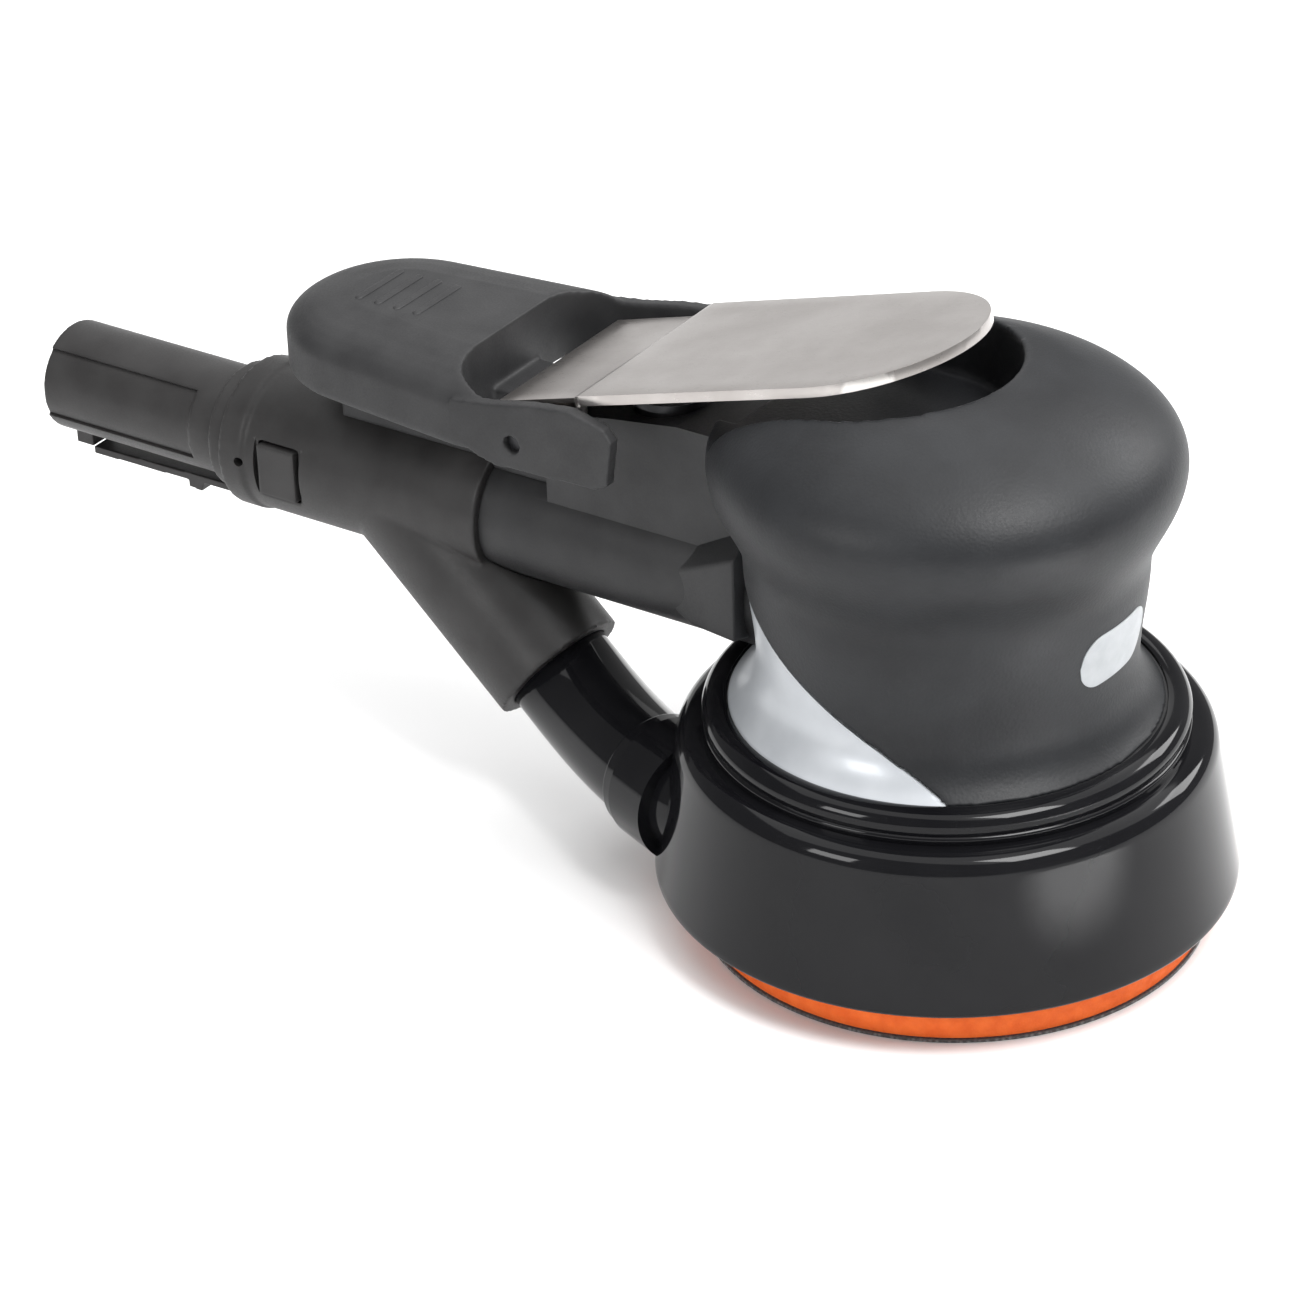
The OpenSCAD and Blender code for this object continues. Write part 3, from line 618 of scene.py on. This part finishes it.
def makeShroud(branchStart):
    # skirt with a round shoulder, open below, with the tube's way and its rim at the side
    s = shroudShape
    r, rounding = highOf("shroud").x, s["rounding"]
    bottom, top = lowOf("shroud").z, lowOf("shroud_collar").z
    rise = s["shoulder"] - bottom - rounding
    slope = (r - s["topRadius"]) / rise
    outer = arc(r - rounding, bottom + rounding, rounding, -90, 0, 5)
    outer += [(r - slope * rise * t / 24, bottom + rounding + rise * t / 24) for t in range(1, 24)]
    edge = bezier((s["topRadius"], s["shoulder"]), (s["topRadius"] - 0.4, s["shoulder"] + 2.3),
                  (s["lip"] + 2.6, top), (s["lip"], top), 14)
    roof = [(s["lip"] - t, top) for t in (0, 1.5, 3)] + [(s["foot"], top), (s["foot"], top - s["topWall"])]
    inner = [(r - s["wall"] - 5, top - s["topWall"])]
    inner += arc(r - s["wall"] - 5.4, s["shoulder"] - 1.4, 1.8, 70, 8, 4)
    inner += [(r - s["wall"] - slope * 22 * (1 - t / 20), s["shoulder"] - 0.8 - t) for t in range(1, 21)]
    inner += [(r - s["wall"], bottom + 0.4), (r - s["wall"] + 0.4, bottom)]
    shell = lathePiece("shroudShell", outer + edge + roof + inner, 288)
    addTo(shell, flangePiece(tubeRoute(branchStart)[0]))
    cut(shell, tubeBar("way", branchStart, tubeShape["radius"] - 0.05))
    finishPiece(shell, "root", blackGloss, ["shroud"], 30)


def flangePiece(route):
    # stepped rim where the tube meets the skirt
    at = round(len(route) * tubeShape["flangeShare"])
    way = (route[at + 2] - route[at]).normalized()
    rim = tubeShape["radius"] + tubeShape["flange"]
    flange = lathePiece("flange", [(0, 0)] + arc(rim - 0.5, 0.5, 0.5, -90, 0, 6)
                        + arc(rim + 0.5, 2.4, 0.5, 180, 90, 5) + [(rim + 0.5, 12), (0, 12)], 128)
    turn = way.to_track_quat("Z", "Y").to_matrix().to_4x4()
    flange.data.transform(Matrix.Translation(route[at] * mm) @ turn)
    cut(flange, insideOfShroud(0.2))
    return flange


def insideOfShroud(spare):
    # the hollow under the shroud, to trim what comes in from outside
    s = shroudShape
    r = highOf("shroud").x - s["wall"] - spare
    slope = (highOf("shroud").x - s["topRadius"]) / (s["shoulder"] - lowOf("shroud").z)
    return lathePiece("inside", [(0, 0), (r, 0), (r, lowOf("shroud").z), (r - slope * 30, lowOf("shroud").z + 30),
                                 (0, lowOf("shroud").z + 30)], 160)


def makeCollar():
    # ring on the shroud with one round bead at its inner edge
    c = collarShape
    low, high = lowOf("shroud_collar"), highOf("shroud_collar")
    foot = shroudShape["foot"]
    outline = [(foot, low.z), (high.x - 0.1, low.z)]
    outline += arc(high.x - c["edge"], low.z + c["edgeHeight"], c["edge"], -20, 70, 4)
    outline += arc(foot + c["beadInset"], high.z - c["bead"], c["bead"], 15, 118, 20) + [(foot, high.z - 0.5)]
    collar = lathePiece("shroudCollar", outline, 256)
    finishPiece(collar, "root", blackGloss, ["shroud_collar"], 40)


def makeDustTube(branchStart):
    # glossy pipe from inside the adapter's cuff to inside the skirt
    route, way = tubeRoute(branchStart, 80)
    back = [route[0] - way * d for d in (15, 12, 9, 6, 3)]
    tube = tubePiece("dustTube", back + route, [tubeShape["radius"], tubeShape["radius"] - tubeShape["wall"]], 96)
    cut(tube, insideOfShroud(0.4))
    finishPiece(tube, "root", blackGloss, ["dust_tube"], 40)


headShape = {
    "foot": (37.7, 41.3), "waist": (32.7, 50.5), "middle": (34.3, 69), "bulge": (40.1, 86.5),
    "shoulder": (23.2, 101.5), "crown": (0, 103.6),
    # curves between those points: the two pulls and the number of steps
    "curves": [
        ("foot", (34.4, 43.5), (32.7, 46.5), "waist", 14), ("waist", (32.7, 57), (34.2, 62), "middle", 16),
        ("middle", (34.5, 75), (40.1, 80), "bulge", 22), ("bulge", (40.1, 93.5), (31, 98.5), "shoulder", 24),
        ("shoulder", (18, 103.6), (9, 103.6), "crown", 12),
    ],
    # outline of the barrel that the rubber and the crescent sit on
    "barrel": [(27, 86), (31, 80), (31, 69), (29.5, 50.5), (34.4, 42.6), (34.4, 41.3)],
    "edgeSlope": 0.506, "edgeMeets": 18.9, "gripGap": 0.15, "crescentInset": 0.35, "crescentGap": -0.05,
    "wellFloor": 89, "wellHalf": 22.5, "wellFront": -11.3, "handleRadius": 12.05, "spineHalf": 9.05,
    "spineTop": 84.5, "voxel": 0.5,
}


def headOutline(inset=0.0):
    # outer line of the head down from its crown, then up along the barrel inside it
    h = headShape
    points = []
    for start, pull, endPull, end, steps in h["curves"]:
        points += bezier(h[start], pull, endPull, h[end], steps)
    outer = [(max(0, r - inset), z) for r, z in points] + [h["crown"]]
    return outer[::-1] + h["barrel"][::-1] + [(0, h["barrel"][0][1])]


def belowEdge(name, lift=0.0):
    # everything under the slanted lower edge of the rubber
    h = headShape
    x0, x1 = -60, h["edgeMeets"] + 30
    foot = h["foot"][1] + lift
    return prismPiece(name, [(x0, 0), (x1, 0), (x1, foot + h["edgeSlope"] * (h["edgeMeets"] - x1)),
                             (x0, foot + h["edgeSlope"] * (h["edgeMeets"] - x0))], -60, 60)


def handleWay(piece):
    # room for the handle and its spine
    h = headShape
    axisZ = handleAxis()
    cut(piece, rodPiece("handleHole", (-60, 0, axisZ), (-20, 0, axisZ), h["handleRadius"] + 0.15, 72))
    cut(piece, boxPiece("spineHole", (-60, -h["spineHalf"] - 0.1, axisZ), (-20, h["spineHalf"] + 0.1, h["spineTop"])))


def handleAxis():
    mounts = {m["name"]: m for m in frame["record"]["mounts"]}
    return mounts["hose_bore"]["pos_m"][2] / mm


def makeGrip():
    # soft rubber over the barrel, with the lever's well in its top and the handle's way behind
    h = headShape
    grip = lathePiece("softGrip", headOutline(), 240)
    cut(grip, belowEdge("below", h["gripGap"]))
    well = boxPiece("well", (-60, -h["wellHalf"], h["wellFloor"]), (h["wellFront"], h["wellHalf"], 110))
    addTo(well, rodPiece("wellEnd", (h["wellFront"], 0, h["wellFloor"]), (h["wellFront"], 0, 110), h["wellHalf"], 96))
    cut(grip, well)
    cut(grip, boxPiece("valveWay", (-60, -h["spineHalf"] - 2, 60), (-34, h["spineHalf"] + 2, h["wellFloor"] + 1)))
    handleWay(grip)
    soften(grip, h["voxel"], 10)  # moulded rubber has no sharp edge anywhere
    finishPiece(grip, "root", gripRubber, ["comfort_grip"], 60)
    return grip


def makeCrescent():
    # silver skin below the slanted edge of the grip
    h = headShape
    band = lathePiece("silverCrescent", headOutline(h["crescentInset"]), 256)
    combine(band, belowEdge("edge", h["crescentGap"]), "INTERSECT")
    handleWay(band)
    finishPiece(band, "root", silver, ["barrel_band"], 35)


badgeShape = {"middle": -2, "halfLength": 10, "height": 60.5, "halfHeight": 5, "lift": 0.18, "sink": 0.3}


def makeBadge(grip):
    # one plain bar with round ends, laid on the grip
    b = badgeShape
    tree = treeOf(grip)
    r = headShape["middle"][0]
    span = math.degrees(b["halfLength"] / r)
    points, faces = [], []
    columns, rows = 40, 8
    for lift in (b["lift"], -b["sink"]):
        for i in range(columns + 1):
            t = -1 + 2 * i / columns
            end = max(0, abs(t) * b["halfLength"] - (b["halfLength"] - b["halfHeight"])) / b["halfHeight"]
            half = b["halfHeight"] * math.sqrt(max(0, 1 - end * end))
            a = math.radians(b["middle"] + t * span)
            for k in range(rows + 1):
                z = b["height"] + half * (-1 + 2 * k / rows)
                out = Vector((math.cos(a), math.sin(a), 0))
                hit = tree.ray_cast((out * 60 + Vector((0, 0, z))) * mm, -out)[0]
                points.append(hit / mm + out * lift)
    width = rows + 1
    layerSize = (columns + 1) * width
    for i in range(columns):
        for k in range(rows):
            quad = [i * width + k, (i + 1) * width + k, (i + 1) * width + k + 1, i * width + k + 1]
            faces.append(quad)
            faces.append([layerSize + v for v in quad[::-1]])
        for k in (0, rows):
            a, farSide = i * width + k, (i + 1) * width + k
            faces.append([a, farSide, layerSize + farSide, layerSize + a])
    badge = meshPiece("gripBar", points, faces)
    facesOut(badge)
    finishPiece(badge, "root", badgeWhite, (), 40)


webShape = {
    # sections on the handle: place, half width, reach below and above the handle's axis
    "onHandle": [(-51, 10.2, 6.4, 6.4), (-44, 12.4, 8.5, 10)],
    # last section, in the head: place, half width, lowest and highest point
    "inHead": (-33.2, 15.0, 46.0, 69.5),
    "lowInner": 6, "highInner": 7, "lowSlant": 2.5, "highSlant": 5, "edge": 0.7,
}


def makeHandleWebs():
    # moulded webs that carry the round handle into the head
    s = webShape
    axisZ = handleAxis()
    sections = [(x, w, axisZ - below, axisZ + above) for x, w, below, above in s["onHandle"]] + [s["inHead"]]
    for side, name in ((-1, "handleWebRight"), (1, "handleWebLeft")):
        points = []
        for x, w, lowZ, highZ in sections:
            points += [(x, side * s["lowInner"], lowZ), (x, side * w, lowZ + s["lowSlant"]),
                       (x, side * w, highZ - s["highSlant"]), (x, side * s["highInner"], highZ)]
        faces = [[0, 1, 2, 3], [11, 10, 9, 8]] + bandFaces(len(sections), 4)
        web = meshPiece(name, points, faces)
        facesOut(web)
        bevelEdges(web, s["edge"], 3, 12)
        finishPiece(web, "root", handlePlastic, (), 30)


adapterShape = {
    "window": (-138.2, -127.8), "windowHalf": 6.1, "windowFloor": -12.4, "hole": -141.4, "holeRadius": 0.9,
}
fittingShape = {
    "radius": 10.4, "grooveFront": -156, "topGroove": 50, "lowGroove": -26, "grooveWide": 0.55, "grooveDeep": 0.6,
}


def makeAdapter():
    # from the CAD node, with moulded edges, a recess round the lug's window and a small hole beside it
    s = adapterShape
    axisZ = handleAxis()
    adapter = copyOfNode("dust_adapter", "dustAdapter")
    soften(adapter, 0.4, 6)
    cut(adapter, boxPiece("windowFrame", (s["window"][0], -20, axisZ - s["windowHalf"]),
                          (s["window"][1], s["windowFloor"], axisZ + s["windowHalf"])))
    cut(adapter, rodPiece("smallHole", (s["hole"], -16, axisZ + 0.5), (s["hole"], -12, axisZ + 0.5),
                          s["holeRadius"], 32))
    finishPiece(adapter, "root", adapterPlastic, ["dust_adapter"], 40)


def makeFitting():
    # from the CAD nodes: the fitting gets two long grooves on each side, the latch only softer edges
    s = fittingShape
    axisZ = handleAxis()
    low = lowOf("hose_fitting")
    radius = s["radius"]
    fitting = copyOfNode("hose_fitting", "hoseFitting")
    soften(fitting, 0.3, 4)
    for side in (-1, 1):
        for angle in (s["topGroove"], s["lowGroove"]):
            groove = boxPiece("groove", (low.x - 1, radius - s["grooveDeep"], -s["grooveWide"] / 2),
                              (s["grooveFront"], radius + 2, s["grooveWide"] / 2))
            turn = Matrix.Rotation(math.radians(angle), 4, "X")
            mirror = Matrix.Scale(side, 4, (0, 1, 0))
            groove.data.transform(Matrix.Translation(Vector((0, 0, axisZ)) * mm) @ mirror @ turn)
            facesOut(groove)
            cut(fitting, groove)
    finishPiece(fitting, "root", adapterPlastic, ["hose_fitting"], 40)
    latch = copyOfNode("hose_latch", "hoseLatch")
    soften(latch, 0.2, 4)
    finishPiece(latch, "latch", adapterPlastic, ["hose_latch"], 60)


platformShape = {
    "rear": (-112, 0, 21), "corner": (-84, 12, 12), "earIn": 21.4, "earOut": 24, "notchX": -79, "notchR": 9,
    # how far each level is pulled in, and its height
    "levels": [(1.6, 76.5), (0.5, 76.9), (0, 77.7), (0, 84.6), (0.5, 85.8), (1.5, 86.9), (3.0, 87.9), (5.0, 88.7),
               (8, 89.4), (11.5, 89.9), (11.9, 90.0)],
    # side view of the ears that hold the pin
    "ear": [(-84.5, 79), (-80, 76.6), (-76, 75.5), (-55, 76.3), (-52.4, 77.5), (-51.2, 86), (-53, 88.3), (-60, 89.9),
            (-68, 88.9), (-76, 87.2), (-84.5, 86)],
    "bridge": ((-85, 80), (-80, 85)), "seam": -89, "pinHole": 1.65,
    "saddleHalf": 7, "saddleRear": (-122, 62), "saddleFront": (-88.2, 82), "tongueTop": 79.8, "tongueShort": 4.3,
}
ribShape = {
    "count": 4, "half": 7, "gap": 4.2, "start": -117, "steps": 24, "fullShare": 0.86,
    "section": [(-0.8, -0.3), (-0.75, 0.12), (-0.45, 0.3), (0, 0.36), (0.45, 0.3), (0.75, 0.12), (0.8, -0.3)],
}


def hullOf(points):
    points = sorted(set(points))

    def half(order):
        side = []
        for p in order:
            while len(side) > 1 and ((side[-1][0] - side[-2][0]) * (p[1] - side[-2][1])
                                     - (side[-1][1] - side[-2][1]) * (p[0] - side[-2][0])) <= 0:
                side.pop()
            side.append(p)
        return side[:-1]
    return half(points) + half(points[::-1])


def platformOutline(inset, count):
    # three round corners pulled in by inset, seen along rays from the middle
    p = platformShape
    x, y, r = p["corner"]
    points = []
    for cx, cy, discR in (p["rear"], (x, y, r), (x, -y, r)):
        for i in range(180):
            a = math.radians(2 * i)
            reach = max(0.05, discR - inset)
            points.append((cx + reach * math.cos(a), cy + reach * math.sin(a)))
    hull = hullOf(points)
    return [rayToHull(hull, (-99, 0), 2 * math.pi * i / count) for i in range(count)]


def rayToHull(hull, middle, angle):
    dx, dy = math.cos(angle), math.sin(angle)
    for i in range(len(hull)):
        a, b = hull[i], hull[(i + 1) % len(hull)]
        ex, ey = b[0] - a[0], b[1] - a[1]
        cross = dx * ey - dy * ex
        if abs(cross) < 1e-12:
            continue
        t = ((a[0] - middle[0]) * ey - (a[1] - middle[1]) * ex) / cross
        u = ((a[0] - middle[0]) * dy - (a[1] - middle[1]) * dx) / cross
        if t > 0 and -1e-9 <= u <= 1 + 1e-9:
            return (middle[0] + t * dx, middle[1] + t * dy)
    return middle


def makePlatform():
    # low dome with a notch for the lever, two ears for its pin and a saddle on the handle
    p = platformShape
    count = 120
    points = []
    for inset, z in p["levels"]:
        points += [(x, y, z) for x, y in platformOutline(inset, count)]
    faces = bandFaces(len(p["levels"]), count)
    faces += [list(range(count))[::-1], list(range(len(points) - count, len(points)))]
    top = meshPiece("wristPlatform", points, faces)
    facesOut(top)
    pivot = jointPlace("lever_press")
    for side in (-1, 1):
        low, high = sorted((side * p["earIn"], side * p["earOut"]))
        addTo(top, prismPiece("ear", p["ear"], low, high))
    (rearX, lowZ), (frontX, highZ) = p["bridge"]
    addTo(top, boxPiece("bridge", (rearX, -p["earOut"], lowZ), (frontX, p["earOut"], highZ)))
    cut(top, boxPiece("notch", (p["notchX"], -p["earIn"], 70), (-40, p["earIn"], 95)))
    inner = p["earIn"] - p["notchR"]
    cut(top, boxPiece("notchEnd", (p["notchX"] - p["notchR"], -inner, 70), (p["notchX"] + 1, inner, 95)))
    for side in (-1, 1):
        place = (p["notchX"], side * inner)
        cut(top, rodPiece("notchCorner", (*place, 70), (*place, 95), p["notchR"], 80))
    half = p["saddleHalf"]
    (rearX, lowZ), (frontX, highZ) = p["saddleRear"], p["saddleFront"]
    saddle = boxPiece("saddle", (rearX, -half, lowZ), (frontX, half, highZ))
    addTo(saddle, boxPiece("saddleTongue", (p["seam"], -half, lowZ),
                           (pivot.x - p["tongueShort"], half, p["tongueTop"])))
    addTo(top, saddle)
    axisZ = handleAxis()
    adapterR = highOf("dust_adapter").z - axisZ - 0.5
    cut(top, rodPiece("adapterWay", (-130, 0, axisZ), (p["seam"], 0, axisZ), adapterR + 0.05, 96))
    cut(top, rodPiece("handleWay", (p["seam"] - 1, 0, axisZ), (-60, 0, axisZ), headShape["handleRadius"] + 0.05, 96))
    cut(top, rodPiece("pinHole", (pivot.x, -30, pivot.z), (pivot.x, 30, pivot.z), p["pinHole"], 40))
    soften(top, 0.4, 7)
    finishPiece(top, "root", platformPlastic, ["wrist_platform"], 60)
    makeRibs(treeOf(top))


def makeRibs(tree):
    # plain low ribs across the top, for the wrist to hold on to
    s = ribShape
    count, section = s["steps"], s["section"]
    points, faces = [], []
    for n in range(s["count"]):
        start = len(points)
        x0 = s["start"] + n * s["gap"]
        for i in range(count + 1):
            t = -1 + 2 * i / count
            pastFull = (abs(t) - s["fullShare"]) / 0.14  # the ends taper down
            shrink = math.sqrt(max(0.0, 1 - max(0, pastFull) ** 2))
            y = t * s["half"]
            for dx, dz in section:
                x = x0 + dx * max(0.05, shrink)
                hit = tree.ray_cast(Vector((x, y, 120)) * mm, (0, 0, -1))[0]
                points.append((x, y, hit.z / mm + (dz * shrink if dz > 0 else dz)))
        wide = len(section)
        faces += bandFaces(count + 1, wide, start)
        faces.append([start + k for k in range(wide)])
        faces.append([start + count * wide + k for k in range(wide)][::-1])
    ribs = meshPiece("platformRibs", points, faces)
    facesOut(ribs)
    finishPiece(ribs, "root", platformPlastic, (), 50)


leverShape = {
    "tilt": 16.3, "half": 21, "tabHalf": 18.3, "thick": 1.8, "plateTop": 7.28, "tabTop": 6, "rear": -5,
    "stepStart": 11.5, "stepEnd": 15, "reach": 82.3, "cheekRadius": 4.6, "edge": 0.45, "pinHole": 1.65,
    # side view of a cheek in front of the pin
    "cheek": [(7, -2.6), (11, 0.6), (12.6, 3), (12.6, 5.2)],
}


def easeStep(t):
    t = max(0, min(1, t))
    return t * t * (3 - 2 * t)


def makeLever():
    # flat sheet with a step and a round nose, made flat about its pin and then tilted
    v = leverShape
    nose = v["reach"] - v["half"]
    stations = [(v["rear"] + (v["stepStart"] - v["rear"]) * i / 4) for i in range(5)]
    stations += [v["stepStart"] + (v["stepEnd"] - v["stepStart"]) * i / 8 for i in range(1, 9)]
    stations += [v["stepEnd"] + (nose - v["stepEnd"]) * i / 10 for i in range(1, 11)]
    stations = [(u, None) for u in stations]
    stations += [(nose + v["half"] * math.sin(math.radians(a)), a) for a in range(3, 90, 3)]
    columns = 12
    points, faces = [], []
    for u, a in stations:
        share = easeStep((u - v["stepStart"]) / (v["stepEnd"] - v["stepStart"]))
        half = v["tabHalf"] + (v["half"] - v["tabHalf"]) * share
        if a is not None:
            half = v["half"] * math.cos(math.radians(a))
        top = v["tabTop"] + (v["plateTop"] - v["tabTop"]) * share
        for i in range(columns + 1):
            points.append((u, half * (-1 + 2 * i / columns), top))
    wide = columns + 1
    for k in range(len(stations) - 1):
        for i in range(columns):
            faces.append([k * wide + i, (k + 1) * wide + i, (k + 1) * wide + i + 1, k * wide + i + 1])
    tip = len(points)
    points.append((v["reach"], 0, v["plateTop"]))
    last = (len(stations) - 1) * wide
    for i in range(columns):
        faces.append([last + i, tip, last + i + 1])
    lever = meshPiece("throttleLever", points, faces)
    facesOut(lever)
    thick = lever.modifiers.new("thick", "SOLIDIFY")
    thick.thickness = v["thick"] * mm
    thick.offset = -1
    settle(lever)
    # the sheet's thickness has to lie under its top face
    topIsUp = max(p.co.z for p in lever.data.vertices) < (v["plateTop"] + 0.2) * mm
    if not topIsUp:
        lever.data.transform(Matrix.Translation((0, 0, -v["thick"] * mm)))
    bevelEdges(lever, v["edge"], 3, 50)
    for side in (-1, 1):
        low, high = sorted((side * v["tabHalf"], side * (v["tabHalf"] - v["thick"])))
        r = v["cheekRadius"]
        outline = arc(0, 0, r, 180, 300, 12) + v["cheek"] + [(-r, v["cheek"][-1][1])]
        cheek = prismPiece("cheek", outline, low, high)
        cut(cheek, rodPiece("pinWay", (0, -30, 0), (0, 30, 0), v["pinHole"], 40))
        bevelEdges(cheek, 0.3, 2, 40)
        joinInto(lever, cheek)
    pivot = jointPlace("lever_press")
    turn = Matrix.Rotation(math.radians(-v["tilt"]), 4, "Y")
    lever.data.transform(Matrix.Translation(pivot * mm) @ turn)
    finishPiece(lever, "lever", nickel, ["throttle_lever"], 40)


def joinInto(piece, other):
    mesh = bmesh.new()
    mesh.from_mesh(piece.data)
    mesh.from_mesh(other.data)
    mesh.to_mesh(piece.data)
    mesh.free()
    bpy.data.objects.remove(other)


branchStart = Vector((-115, 0, handleAxis()))
makeShroud(branchStart)
makeCollar()
makeDustTube(branchStart)
print("stage: shroud and dust tube made")
grip = makeGrip()
makeCrescent()
makeBadge(grip)
print("stage: head made")
makeHandleWebs()
makeAdapter()
makeFitting()
print("stage: handle, adapter and fitting made")
makePlatform()
makeLever()
print("stage: platform and lever made")


# metres from here on
studio = {
    "floorColour": (0.92, 0.92, 0.92), "floorHalf": 4, "floorDrop": 0.00005, "worldStrength": 0.34,
    "softboxes": [
        # name, place, aim, size, power
        ("overheadBox", (0.0, 0.25, 1.50), (0, 0, 0), 2.5, 33),
        ("keyBox", (0.45, -0.10, 0.75), (0, 0, 0.08), 0.35, 6.5),
        ("frontBox", (-0.25, -0.85, 0.45), (-0.05, 0, 0.05), 0.30, 3.0),
        ("leverBox", (-0.70, 0.62, 0.20), (-0.04, 0, 0.09), 0.70, 0.95),
        ("backBox", (0.35, 0.75, 0.55), (0, 0, 0.05), 0.35, 4),
    ],
}
poolOfLight = {
    "place": (0.172, -0.040, 0.50), "aim": (0.172, -0.040, 0), "angle": 13, "power": 55, "blend": 0.35,
    "softness": 0.02,
}
cameraSetting = {
    "azimuth": 34.88, "elevation": 29.86, "roll": -2.0, "distance": 0.8502, "target": (-0.0613, 0, 0.0315),
    "lens": 132.3, "sensor": 36,
}


def makeFloor():
    far, z = studio["floorHalf"] / mm, -studio["floorDrop"] / mm
    floor = meshPiece("floor", [(-far, -far, z), (far, -far, z), (far, far, z), (-far, far, z)], [[0, 1, 2, 3]])
    material, nodes, links, shader, place = newMaterial("paleFloor")
    colour = blendColours(nodes, links, noiseOf(nodes, links, place, 400), studio["floorColour"],
                          tuple(c * 1.01 for c in studio["floorColour"]))
    links.new(colour, shader.inputs["Base Color"])
    shader.inputs["Roughness"].default_value = 0.9
    shader.inputs["Specular IOR Level"].default_value = 0.2
    floor.data.materials.append(material)


def makeLights():
    world = bpy.data.worlds.new("studioWorld")
    bpy.context.scene.world = world
    world.use_nodes = True
    sky = world.node_tree.nodes["Background"]
    sky.inputs["Color"].default_value = (1, 1, 1, 1)
    sky.inputs["Strength"].default_value = studio["worldStrength"]
    for name, place, aim, size, power in studio["softboxes"]:
        light = bpy.data.lights.new(name, "AREA")
        light.size = size
        light.energy = power
        lamp = bpy.data.objects.new(name, light)
        lamp.location = place
        lamp.rotation_mode = "QUATERNION"
        lamp.rotation_quaternion = (Vector(aim) - Vector(place)).to_track_quat("-Z", "Y")
        bpy.context.scene.collection.objects.link(lamp)


def makePool():
    # lights a patch of floor in front, which the glossy skirt mirrors
    light = bpy.data.lights.new("floorSpot", "SPOT")
    light.energy = poolOfLight["power"]
    light.spot_size = math.radians(poolOfLight["angle"])
    light.spot_blend = poolOfLight["blend"]
    light.shadow_soft_size = poolOfLight["softness"]
    lamp = bpy.data.objects.new("floorSpot", light)
    lamp.location = poolOfLight["place"]
    lamp.rotation_mode = "QUATERNION"
    lamp.rotation_quaternion = (Vector(poolOfLight["aim"]) - lamp.location).to_track_quat("-Z", "Y")
    bpy.context.scene.collection.objects.link(lamp)


def makeCamera():
    c = cameraSetting
    a, e, roll = (math.radians(c[k]) for k in ("azimuth", "elevation", "roll"))
    back = Vector((math.sin(a) * math.cos(e), -math.cos(a) * math.cos(e), math.sin(e)))
    right = Vector((math.cos(a), math.sin(a), 0))
    up = back.cross(right)
    turnedRight = right * math.cos(roll) + up * math.sin(roll)
    turnedUp = -right * math.sin(roll) + up * math.cos(roll)
    lens = bpy.data.cameras.new("camera")
    lens.lens = c["lens"]
    lens.sensor_width = c["sensor"]
    lens.clip_start = 0.01
    lens.clip_end = 50
    camera = bpy.data.objects.new("camera", lens)
    turn = Matrix((turnedRight, turnedUp, back)).transposed().to_4x4()
    camera.matrix_world = Matrix.Translation(Vector(c["target"]) + back * c["distance"]) @ turn
    bpy.context.scene.collection.objects.link(camera)
    bpy.context.scene.camera = camera
    bpy.context.scene.view_settings.view_transform = "Standard"


makeFloor()
makeLights()
makePool()
makeCamera()
print("stage: studio made")
